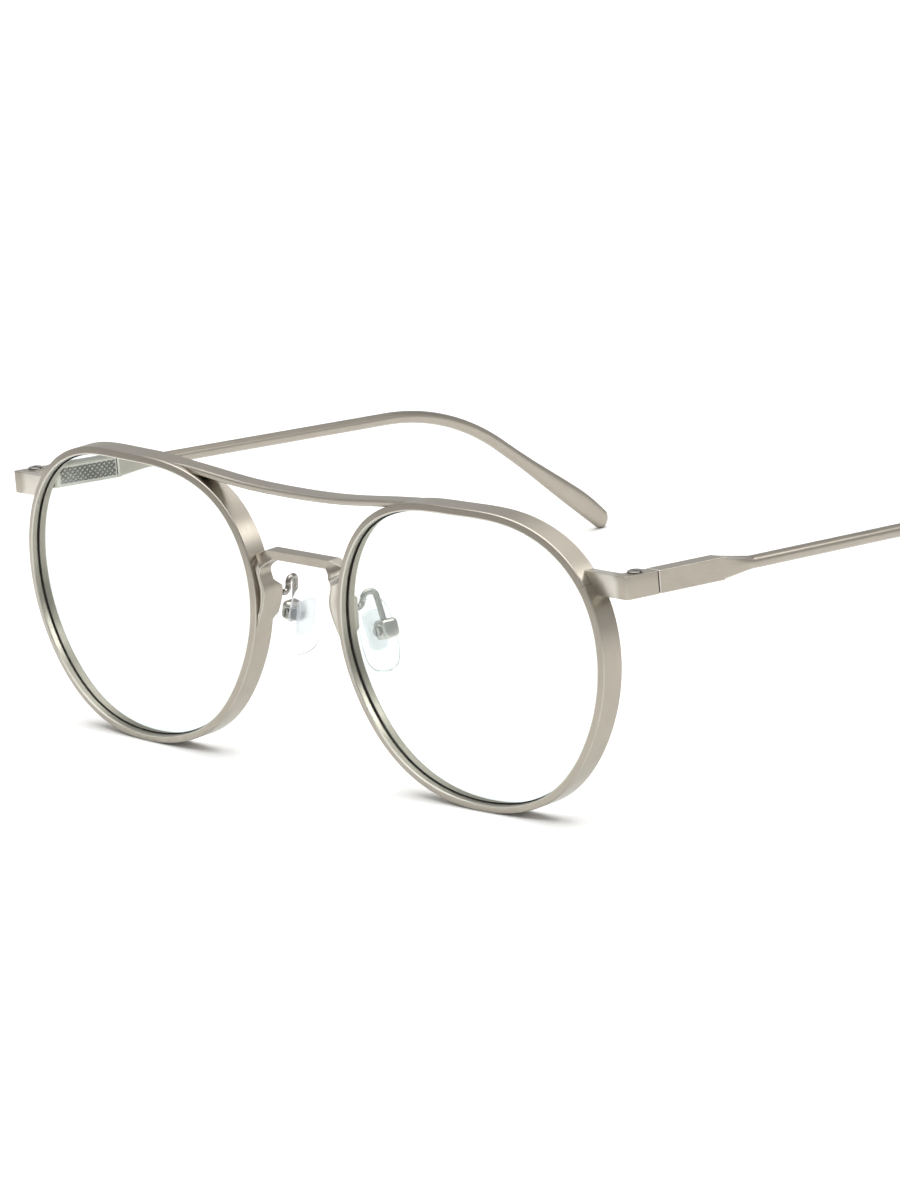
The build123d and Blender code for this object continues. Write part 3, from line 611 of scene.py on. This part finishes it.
def bridge_shape():
    """The lower bridge: a stamped saddle whose ends turn down into a leg on each rim."""
    back_z, back_y = zip(*LEG_BACK)
    front_z, front_y = zip(*BRIDGE_FRONT)
    half = bridge_sections()
    other_half = [((-a[0], a[1]), (-b[0], b[1]), lean) for a, b, lean in reversed(half[1:])]
    rings = []
    for inner, outer, lean in other_half + half:
        a, b = Vector(inner), Vector(outer)
        thick = (b - a).length
        way = (b - a) / thick
        back = float(np.interp(inner[1], back_z, back_y))
        land, soft, softer = (min(most, thick * share) for most, share in LEG_EDGES)
        near, edge, far = (float(np.interp((a + way * t).y, front_z, front_y)) for t in (0, land, thick))
        ring = rounded([(0, near, soft), (0, back - BACK_SLANT * lean, softer), (thick, back, softer),
                        (thick, far + FRONT_SLANT * lean, soft), (land, edge, 0)], 4, 0.01)
        rings.append([(a.x + way.x * t, y, a.y + way.y * t) for t, y in ring])
    return rows_shape(rings)


# The end pieces ----------

def end_shape():
    """The end piece: a front leg that meets the rim and a side leg that runs back to the hinge."""
    inner_x, back_y, end_y = SIDE_X - SIDE_THICK, END_FRONT + END_PLATE, END_FRONT + END_LENGTH
    turns = [(SIDE_X, END_FRONT), (SIDE_X, end_y), (inner_x, end_y), (inner_x, back_y)]
    corners = [(x, y, radius) for (x, y), radius in zip(turns, END_RADII)]
    plan = rounded([(END_INNER_X, END_FRONT, 0), *corners, (END_INNER_X, back_y, 0)], 6, 0.02)
    half = END_HEIGHT / 2
    verts, faces, maps = prism([tuple(p) for p in plan], -half, half, middle_z)
    slanted = []
    for x, y, z in verts:
        if x < (END_INNER_X + inner_x) / 2:
            x -= END_SLANT * (z - middle_z(y)) / half
        slanted.append((x, y, z))
    return slanted, faces, maps


def end_piece(side, turned):
    """One end piece, softened and then slotted for the temple's knuckle and seated for the screw."""
    obj = add_mesh(f"end_piece_{side}_stamped", turned(end_shape()), [brushed_plating])
    soften(obj, END_SOFT)
    middle = middle_z(HINGE_Y)
    plan = [(HINGE_X + SLOT_ROOM, HINGE_Y), (HINGE_X + SLOT_ROOM, SLOT_BACK_Y), (SLOT_INNER_X, SLOT_BACK_Y),
            (SLOT_INNER_X, HINGE_Y - SLOT_ROOM), (HINGE_X, HINGE_Y - SLOT_ROOM)]
    plan += [(HINGE_X + SLOT_ROOM * math.sin(a), HINGE_Y - SLOT_ROOM * math.cos(a))
             for a in np.linspace(0, math.pi / 2, 9)[1:-1]]
    slot = add_mesh("slot_tool", turned(prism(plan, -SLOT_HALF, SLOT_HALF, lambda y: middle)), [])
    seat = add_mesh("seat_tool", turned(drum(HINGE_X, HINGE_Y, middle + END_HEIGHT / 2 - SEAT_DEPTH,
                                             middle + END_HEIGHT, SEAT_RADIUS)), [])
    cut(obj, slot, seat)
    # No painted highlight on the end piece's edges
    finish_mesh(obj, 35, highlight_edges=False)
    settle(obj, "front", "frame_metal", f"end_piece_{side}")


# The temples ----------

TURN = EAR_SLOPE - TEMPLE_SLOPE
ROD_WAY = Vector((-math.sin(TOE_IN) * math.cos(TEMPLE_SLOPE), math.cos(TOE_IN) * math.cos(TEMPLE_SLOPE),
                  -math.sin(TEMPLE_SLOPE)))
ROD_FALL = Vector((math.sin(TOE_IN) * math.sin(TEMPLE_SLOPE), -math.cos(TOE_IN) * math.sin(TEMPLE_SLOPE),
                   -math.cos(TEMPLE_SLOPE)))
ROD_SIDE = Vector((math.cos(TOE_IN), math.sin(TOE_IN), 0))
BOX_END = BOX_START + BOX_LENGTH
TAPER_END = BOX_END + TAPER_LENGTH
TEMPLE_X = SIDE_X - SIDE_THICK / 2
ROD_START = Vector((TEMPLE_X, TAPER_END, middle_z(TAPER_END) - ROD_DOWN))
BEND_CORNER = ROD_START + ROD_WAY * ((BEND_Y - TAPER_END) / ROD_WAY.y)
BEND_START = BEND_CORNER - ROD_WAY * (BEND_RADIUS * math.tan(TURN / 2))


def on_bend(angle):
    """The point of the ear bend where the temple has turned by angle."""
    return (BEND_START + ROD_WAY * (BEND_RADIUS * math.sin(angle))
            + ROD_FALL * (BEND_RADIUS * (1 - math.cos(angle))))


def bend_way(angle):
    """The temple's direction where it has turned by angle."""
    return ROD_WAY * math.cos(angle) + ROD_FALL * math.sin(angle)


def cross_ring(centre, way, half_thick, half_width, power=2.0, count=48):
    """A ring square to the temple: half_thick across, half_width up and down."""
    up = ROD_SIDE.cross(way).normalized()
    ring = []
    for k in range(count):
        x, z = squared(2 * math.pi * k / count, half_thick, half_width, power)
        ring.append(tuple(centre + ROD_SIDE * x + up * z))
    return ring


def box_ring(y, less, notch):
    """A ring of the temple's box at y, smaller by less. The notch on its inner face takes the plate."""
    thick, high, lip = SIDE_THICK / 2 - less, BOX_HEIGHT / 2 - less, NOTCH_HALF + NOTCH_PLAY
    outer = rounded([(thick, -high, BOX_SOFT), (thick, high, BOX_SOFT), (-thick, high, BOX_SOFT),
                     (-thick, -high, BOX_SOFT)], 5, 0.03)
    let_in = [(-thick, lip), (-thick + notch, NOTCH_HALF), (-thick + notch, -NOTCH_HALF), (-thick, -lip)]
    split = next(i for i, p in enumerate(outer) if p[0] < -thick + 0.001 and p[1] < 0)
    ring = [tuple(p) for p in outer[:split]] + let_in + [tuple(p) for p in outer[split:]]
    return [(TEMPLE_X + x, y, middle_z(y) + z) for x, z in ring]


def temple_box_shape():
    """The squared part of the temple, from the hinge's gap to the crease."""
    first, last = BOX_END - NOTCH_INSET - NOTCH_LENGTH - NOTCH_PLAY, BOX_END - NOTCH_INSET + NOTCH_PLAY
    front_edge = [(0.0, 0.14), (0.05, 0.05), (0.14, 0.0), (0.18, 0.0)]
    rows = [box_ring(BOX_START + run, less, 0.0) for run, less in front_edge]
    for y, notch in ((first - 0.02, 0.0), (first, NOTCH_DEPTH), (last, NOTCH_DEPTH), (last + 0.02, 0.0),
                     (BOX_END - 0.1, 0.0), (BOX_END, 0.0)):
        rows.append(box_ring(y, 0.0, notch))
    return rows_shape(rows)


def taper_shape(steps=26, count=64):
    """The faceted run from the squared box down to the round wire."""
    rows, half_thick, half_height = [], SIDE_THICK / 2 - TAPER_SINK, BOX_HEIGHT / 2 - TAPER_SINK
    for k in range(steps + 1):
        t = k / steps
        y = BOX_END - TAPER_LAP + (TAPER_LENGTH + TAPER_LAP) * t
        centre = Vector((TEMPLE_X, y, middle_z(y) - ROD_DOWN * t))
        ring = []
        for j in range(count):
            a = 2 * math.pi * (j + 0.5) / count
            c, s = math.cos(a), math.sin(a)
            squash = (abs(c) ** TAPER_POWER + abs(s) ** TAPER_POWER) ** (-1 / TAPER_POWER)
            box_x, box_z = c * squash * half_thick, s * squash * half_height
            x, z = box_x + (c * ROD_RADIUS - box_x) * t, box_z + (s * ROD_RADIUS - box_z) * t
            ring.append((centre.x + x, centre.y, centre.z + z))
        rows.append(ring)
    return rows_shape(rows)


def rod_path():
    """Middle line of the round wire, from the taper over the first half of the ear bend."""
    straight = (BEND_START - ROD_START).length
    path = [ROD_START + ROD_WAY * t for t in np.linspace(-ROD_LAP, straight, 40)]
    return path + [on_bend(angle) for angle in np.linspace(0, TURN * SEAM_SHARE, 30)[1:]]


def tip_shape():
    """The ear end: the wire flattens into a paddle with a round end."""
    rows = []
    way, start = bend_way(TURN), on_bend(TURN)
    down = way.cross(ROD_SIDE).normalized()
    if down.z > 0:
        down = -down
    length = (TIP_Y - start.y) / way.y
    for k, angle in enumerate(np.linspace(TURN * SEAM_SHARE, TURN, TIP_BEND_ROWS)[:-1]):
        radius = ROD_RADIUS + (TIP_RADIUS - ROD_RADIUS) * k / (TIP_BEND_ROWS - 1)
        rows.append(cross_ring(on_bend(angle), bend_way(angle), radius, radius))
    flare_at = smooth_through(TIP_FLARE)
    for share in np.linspace(0, 1, TIP_ROWS):
        flare = float(np.clip(flare_at(share), 0, 1))
        half_width = TIP_RADIUS + flare * (TIP_HALF_WIDTH - TIP_RADIUS)
        half_thick = TIP_RADIUS + flare * (TIP_HALF_THICK - TIP_RADIUS)
        less = TIP_NARROWING * max((share - TIP_TURN) / (1 - TIP_TURN), 0) ** 2
        rows.append(cross_ring(start + way * (share * length) + down * less, way, half_thick,
                               half_width - less, 2 + (TIP_POWER - 2) * flare))
    widest = TIP_HALF_WIDTH - TIP_NARROWING
    for share in np.sin(np.linspace(0, math.pi / 2, TIP_CAP_ROWS))[1:]:
        width = widest * math.sqrt(max(1 - share**2, TIP_LEAST))
        thick = TIP_HALF_THICK * math.sqrt(max(1 - share**4, TIP_LEAST))
        fall = TIP_NARROWING + (widest - width) * TIP_FALL_SHARE
        rows.append(cross_ring(start + way * (length + share * TIP_CAP) + down * fall, way, thick, width,
                               TIP_POWER))
    return rows_shape(rows)


# The nose pads ----------

def pad_point(back, up, height):
    """A point of the pad: back and up along it, height away from the nose."""
    return tuple(PAD_AT + Vector((0, back, 0)) + PAD_UP * up + PAD_AWAY * height)


def pad_shape():
    """The soft pad: a rounded oblong, wider at its foot, with a domed nose face and a flat back."""
    rings = []
    for scale, height in PAD_LEVELS:
        ring = []
        for k in range(PAD_SIDES):
            a = 2 * math.pi * k / PAD_SIDES
            y, z = squared(a, PAD_WIDTH / 2, PAD_LENGTH / 2, PAD_POWER)
            y *= 1 - PAD_EGG * math.sin(a)
            ring.append(pad_point(PAD_BACK + y * scale, -PAD_DROP + z * scale, -PAD_GAP - height))
        rings.append(ring)
    return rows_shape(rings)


def cup_shape():
    """The pad box: a small cast lump, open towards the nose, that holds the pad's tab."""
    rings = []
    for height, grow in CUP_LEVELS:
        deep, high = CUP_HALF_DEPTH + grow, CUP_HALF_HEIGHT + grow
        ring = rounded([(deep, high, CUP_CORNER), (-deep, high, CUP_CORNER), (-deep, -high, CUP_CORNER),
                        (deep, -high, CUP_CORNER)], 7, 0.02)
        rings.append([pad_point(b, u, height) for b, u in ring])
    return rows_shape(rings)


def arm_path():
    """Middle line of the bent wire arm, from the leg up, over and down to the pad box."""
    end = PAD_AT + PAD_UP * ARM_END
    top = end + PAD_UP * ((ARM_PEAK_Z - end.z) / PAD_UP.z)
    knots = [ARM_ROOT, ARM_HEEL, Vector((ARM_HEEL.x, ARM_HEEL.y, ARM_PEAK_Z)), top, end]
    path = [ARM_ROOT]
    for before, corner, after, radius in zip(knots, knots[1:], knots[2:], ARM_BENDS):
        a, b = (before - corner).normalized(), (after - corner).normalized()
        half = a.angle(b) / 2
        reach = radius / math.tan(half)
        centre = corner + (a + b).normalized() * (radius / math.sin(half))
        start, stop = corner + a * reach - centre, corner + b * reach - centre
        path += [centre + start.slerp(stop, k / ARM_STEPS) for k in range(ARM_STEPS + 1)]
    return path + [end]


# What repeats or follows a path ----------

KNURL_FADE, WIRE_SIDES = 0.08, 32
# The knurl's sums in order: name, operation and what goes in, by name or as a number. "low" is 0 on a
# diamond's top and 1 in a groove, and "share" fades the knurl out towards the plain border.
KNURL_SUMS = [
    ("across", "DIVIDE", "x", "Pitch"), ("upward", "DIVIDE", "y", "Rise"),
    ("one way", "ADD", "across", "upward"), ("rising", "PINGPONG", "one way", 0.5),
    ("other way", "SUBTRACT", "across", "upward"), ("falling", "PINGPONG", "other way", 0.5),
    ("nearer", "MINIMUM", "rising", "falling"), ("top", "MULTIPLY", "nearer", 2.0),
    ("low", "SUBTRACT", 1.0, "top"),
    ("half length", "MULTIPLY", "Length", 0.5), ("off x", "ABSOLUTE", "x", 0.0),
    ("end room", "SUBTRACT", "half length", "off x"),
    ("half height", "MULTIPLY", "Height", 0.5), ("off y", "ABSOLUTE", "y", 0.0),
    ("edge room", "SUBTRACT", "half height", "off y"),
    ("room", "MINIMUM", "end room", "edge room"), ("inside", "SUBTRACT", "room", "Border"),
    ("fade", "DIVIDE", "inside", KNURL_FADE), ("capped", "MINIMUM", "fade", 1.0),
    ("share", "MAXIMUM", "capped", 0.0),
    ("pressed", "MULTIPLY", "low", "share"), ("sunk", "MULTIPLY", "pressed", "Groove"),
    ("shift", "MULTIPLY", "sunk", -1.0), ("outer face", "GREATER_THAN", "z", 0.0),
    # The last sum here is the painted shade, darkest deep in the grooves and faded out with the knurl
    ("deep", "POWER", "low", 2.0), ("painted_groove_shade", "MULTIPLY", "deep", "share"),
]
ON_POINTS = {"data_type": "FLOAT", "domain": "POINT"}


def shaping_tree(name, *numbers):
    """A geometry tree with named number inputs and a material, and its input node."""
    tree = bpy.data.node_groups.new(name, "GeometryNodeTree")
    tree.interface.new_socket(name="Geometry", in_out="INPUT", socket_type="NodeSocketGeometry")
    for number in numbers:
        tree.interface.new_socket(name=number, in_out="INPUT", socket_type="NodeSocketFloat")
    tree.interface.new_socket(name="Material", in_out="INPUT", socket_type="NodeSocketMaterial")
    tree.interface.new_socket(name="Geometry", in_out="OUTPUT", socket_type="NodeSocketGeometry")
    return tree, tree.nodes.new("NodeGroupInput")


def end_tree(tree, start, geometry):
    """Ends a geometry tree with real faces in the given material."""
    real = put(tree, "GeometryNodeRealizeInstances", Geometry=geometry)
    dressed = put(tree, "GeometryNodeSetMaterial", Geometry=real.outputs[0],
                  Material=start.outputs["Material"])
    put(tree, "NodeGroupOutput", _0=dressed.outputs[0])
    return tree


def wire_tree():
    """Wire drawn along a path, with its run and its way round kept as the map along it."""
    tree, start = shaping_tree("wire_along_path", "Radius")
    place = put(tree, "GeometryNodeSplineParameter")
    line = put(tree, "GeometryNodeMeshToCurve", Mesh=start.outputs["Geometry"])
    line = put(tree, "GeometryNodeStoreNamedAttribute", ON_POINTS, Geometry=line.outputs[0], Name="run",
               Value=place.outputs["Length"])
    ring = put(tree, "GeometryNodeCurvePrimitiveCircle", Resolution=WIRE_SIDES,
               Radius=start.outputs["Radius"])
    ring = put(tree, "GeometryNodeStoreNamedAttribute", ON_POINTS, Geometry=ring.outputs[0], Name="round",
               Value=place.outputs["Length"])
    skin = put(tree, "GeometryNodeCurveToMesh", Curve=line.outputs[0], Profile_Curve=ring.outputs[0],
               Fill_Caps=True)
    run = put(tree, "GeometryNodeInputNamedAttribute", {"data_type": "FLOAT"}, Name="run")
    turn = put(tree, "GeometryNodeInputNamedAttribute", {"data_type": "FLOAT"}, Name="round")
    pair = put(tree, "ShaderNodeCombineXYZ", X=run.outputs[0], Y=turn.outputs[0])
    mapped = put(tree, "GeometryNodeStoreNamedAttribute", {"data_type": "FLOAT2", "domain": "CORNER"},
                 Geometry=skin.outputs[0], Name="along", Value=pair.outputs[0])
    return end_tree(tree, start, mapped.outputs[0])


def knurl_tree():
    """A plate with crossed grooves that leave rows of small pyramids inside a plain border."""
    numbers = ("Length", "Height", "Depth", "Pitch", "Rise", "Groove", "Border")
    tree, start = shaping_tree("knurled_plate", *numbers)
    found = {name: start.outputs[name] for name in numbers}
    size = put(tree, "ShaderNodeCombineXYZ", X=found["Length"], Y=found["Height"], Z=found["Depth"])
    plate = put(tree, "GeometryNodeMeshCube", Size=size.outputs[0], Vertices_X=185, Vertices_Y=45,
                Vertices_Z=2)
    spot = put(tree, "ShaderNodeSeparateXYZ", Vector=put(tree, "GeometryNodeInputPosition").outputs[0])
    found.update(zip("xyz", spot.outputs))
    for name, operation, first, second in KNURL_SUMS:
        found[name] = put(tree, "ShaderNodeMath", {"operation": operation}, _0=found.get(first, first),
                          _1=found.get(second, second)).outputs[0]
    shift = put(tree, "ShaderNodeCombineXYZ", Z=found["shift"])
    # The painted shade for the grooves is kept under the name sunk
    kept = put(tree, "GeometryNodeStoreNamedAttribute", ON_POINTS, Geometry=plate.outputs[0], Name="sunk",
               Value=found["painted_groove_shade"])
    pressed = put(tree, "GeometryNodeSetPosition", Geometry=kept.outputs[0], Offset=shift.outputs[0],
                  Selection=found["outer face"])
    return end_tree(tree, start, pressed.outputs[0])


WIRE_TREE, KNURL_TREE = wire_tree(), knurl_tree()


def grown(name, verts, edges, tree, material, **values):
    """An object grown by a geometry tree from a few points, as a plain mesh."""
    mesh = bpy.data.meshes.new(name)
    mesh.from_pydata(verts, edges, [])
    obj = to_scene(name, mesh)
    change = obj.modifiers.new("grow", "NODES")
    change.node_group = tree
    values["Material"] = material
    for item in tree.interface.items_tree:
        if item.in_out == "INPUT" and item.name in values:
            change[item.identifier] = values[item.name]
    return bake(obj)


def wire(name, path, radius, material, turned):
    """Round wire of a radius along a path of bench points."""
    verts, _, _ = turned(([tuple(p) for p in path], [], []))
    edges = [(i, i + 1) for i in range(len(verts) - 1)]
    obj = grown(name, [to_row(p) for p in verts], edges, WIRE_TREE, material, Radius=radius * MM)
    finish_mesh(obj, 60)
    return obj


def knurled_plate(side):
    """The knurled plate let into the temple's inner face, sheared along the temple's slope."""
    obj = grown(f"temple_plate_{side}_knurled", [(0, 0, 0)], [], KNURL_TREE, knurled_plating,
                Length=PLATE_LENGTH, Height=PLATE_HEIGHT, Depth=PLATE_THICK, Pitch=1.05, Rise=0.9,
                Groove=0.22, Border=0.12)
    sign = 1 if side == "left" else -1
    face_x = SIDE_X - SIDE_THICK + PLATE_THICK / 2
    middle_y = BOX_END - PLATE_MARGIN - PLATE_LENGTH / 2
    for vert in obj.data.vertices:
        y = middle_y + vert.co.x
        vert.co = to_row((sign * (face_x - vert.co.z), y, middle_z(y) + vert.co.y))
    finish_mesh(obj, 25)
    return obj


# Building ----------

for side, turned in SIDES:
    arm, metal = f"temple_arm_{side}", [brushed_plating]
    rim = add_mesh(f"rim_{side}_grooved", turned(rim_shape()), metal, 60)
    settle(rim, "front", "frame_metal", f"rim_{side}")
    lens = add_mesh(f"lens_{side}_bevelled", turned(lens_shape()), [lens_resin, painted_shade_lens_edge], 30,
                    LENS_EDGE_FACES)
    settle(lens, "front", "lens_clear", f"lens_{side}")
    end_piece(side, turned)
    box = add_mesh(f"temple_box_{side}", turned(temple_box_shape()), metal, 40)
    settle(box, arm, "frame_metal", f"temple_{side}")
    settle(add_mesh(f"temple_taper_{side}", turned(taper_shape()), metal, 40), arm, "frame_metal")
    settle(wire(f"temple_wire_{side}", rod_path(), ROD_RADIUS, *metal, turned), arm, "frame_metal")
    settle(knurled_plate(side), arm, "inlay_metal", f"temple_inlay_{side}")
    tip = add_mesh(f"temple_paddle_{side}", turned(tip_shape()), metal, 60)
    settle(tip, arm, "tip_plastic", f"temple_tip_{side}")
    pad_arm = wire(f"pad_wire_{side}", arm_path(), ARM_RADIUS, polished_wire, turned)
    settle(pad_arm, "front", "wire_metal", f"pad_arm_{side}")
    cup = add_mesh(f"pad_box_{side}", turned(cup_shape()), [polished_wire], 45)
    settle(cup, "front", "wire_metal", f"pad_cup_{side}")
    pad = add_mesh(f"nose_pad_{side}_moulded", turned(pad_shape()), [pad_silicone], 60)
    settle(pad, f"pad_rocker_{side}", "pad_silicone", f"nose_pad_{side}")

bar = add_mesh("top_bar_rounded", bar_shape(), [brushed_plating], 60)
settle(bar, "front", "frame_metal", "top_bar")
bridge = add_mesh("bridge_stamped", bridge_shape(), [brushed_plating], 60)
settle(bridge, "front", "frame_metal", "bridge")

# The solids that are kept as they are, and their finishes
KEPT = {
    "lock_block": plain_plating, "lock_screw": turned_steel, "hinge_screw": turned_steel,
    "hinge_washer": nylon, "temple_knuckle": plain_plating, "pad_screw": turned_steel,
    "pad_stem": stem_plastic,
}
for stem, material in KEPT.items():
    for side, _ in SIDES:
        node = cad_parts[f"{stem}_{side}"]
        node.data.materials.clear()
        node.data.materials.append(material)


# The stage ----------

def white_paper(grain_mm=2.5):
    """Seamless studio paper: matt, with a faint mottle from its fibres."""
    material, tree, out = new_material("seamless_white_paper")
    coords = put(tree, "ShaderNodeTexCoord")
    grain = put(tree, "ShaderNodeTexNoise", Vector=coords.outputs["Object"], Scale=1 / (grain_mm * MM))
    colour = put(tree, "ShaderNodeMix", RGB, _0=grain.outputs[0], _6=linear("#f9f9f8"), _7=linear("#fdfdfc"))
    shader = put(tree, "ShaderNodeBsdfDiffuse", Color=colour.outputs[2])
    tree.links.new(shader.outputs[0], out.inputs[0])
    return material


def table(half):
    """The level sheet that the glasses stand on."""
    mesh = bpy.data.meshes.new("table")
    mesh.from_pydata([(-half, -half, 0), (half, -half, 0), (half, half, 0), (-half, half, 0)], [],
                     [(0, 1, 2, 3)])
    mesh.materials.append(white_paper())
    to_scene("table", mesh)


def softbox(name, at, look, size, energy):
    """A square lamp at a place, facing a point."""
    light = bpy.data.lights.new(name, "AREA")
    light.shape, light.size, light.energy = "SQUARE", size, energy
    obj = to_scene(name, light)
    obj.location = at
    obj.rotation_euler = (Vector(look) - Vector(at)).to_track_quat("-Z", "Y").to_euler()
    return obj


def studio_sky():
    """Even soft light from all round, a little dimmer above the table's horizon."""
    world = bpy.data.worlds.new("studio")
    bpy.context.scene.world = world
    world.use_nodes = True
    sky = world.node_tree
    sky.nodes.clear()
    coords = put(sky, "ShaderNodeTexCoord")
    height = put(sky, "ShaderNodeSeparateXYZ", Vector=coords.outputs["Generated"])
    ramp = put(sky, "ShaderNodeMapRange", Value=height.outputs["Z"], From_Min=0.3, From_Max=0.55,
               To_Min=0.65, To_Max=0.35)
    shade = put(sky, "ShaderNodeBackground", Color=(1, 1, 1, 1), Strength=ramp.outputs[0])
    put(sky, "ShaderNodeOutputWorld", Surface=shade.outputs[0])


# Where the photograph was taken from. Its focal length is in pixels of its own width.
AZIMUTH, ELEVATION, ROLL = math.radians(46.483), math.radians(14.803), math.radians(4.764)
CAMERA_AT, PHOTO_FOCAL, PHOTO_WIDTH, SENSOR = (767.39, -691.94, 300.26), 6808.97, 900, 36.0


def photo_camera():
    """The camera at the photograph's place and angle."""
    back = Vector((math.sin(AZIMUTH) * math.cos(ELEVATION), -math.cos(AZIMUTH) * math.cos(ELEVATION),
                   math.sin(ELEVATION)))
    level = Vector((math.cos(AZIMUTH), math.sin(AZIMUTH), 0))
    up = back.cross(level)
    turned_right = level * math.cos(ROLL) - up * math.sin(ROLL)
    turned_up = level * math.sin(ROLL) + up * math.cos(ROLL)
    data = bpy.data.cameras.new("photo_view")
    data.sensor_fit, data.sensor_width, data.lens = "HORIZONTAL", SENSOR, PHOTO_FOCAL / PHOTO_WIDTH * SENSOR
    data.clip_start, data.clip_end = 0.05, 20.0
    camera = to_scene("photo_view", data)
    turned = Matrix((turned_right, turned_up, back)).transposed().to_4x4()
    camera.matrix_world = Matrix.Translation(to_row(CAMERA_AT)) @ turned
    bpy.context.scene.camera = camera


table(6.0)
softbox("overhead", (0.0, 0.0, 1.0), (0, 0, 0), 1.6, 20.0)
# A small card that lights the outer wall of the far rim above the bridge
card = softbox("card", (0.2215, 0.2003, 0.232), (-0.0103, -0.0658, 0.040), 0.08, 0.16)
card.visible_diffuse = False
studio_sky()
photo_camera()
bpy.context.scene.view_settings.view_transform = "Standard"
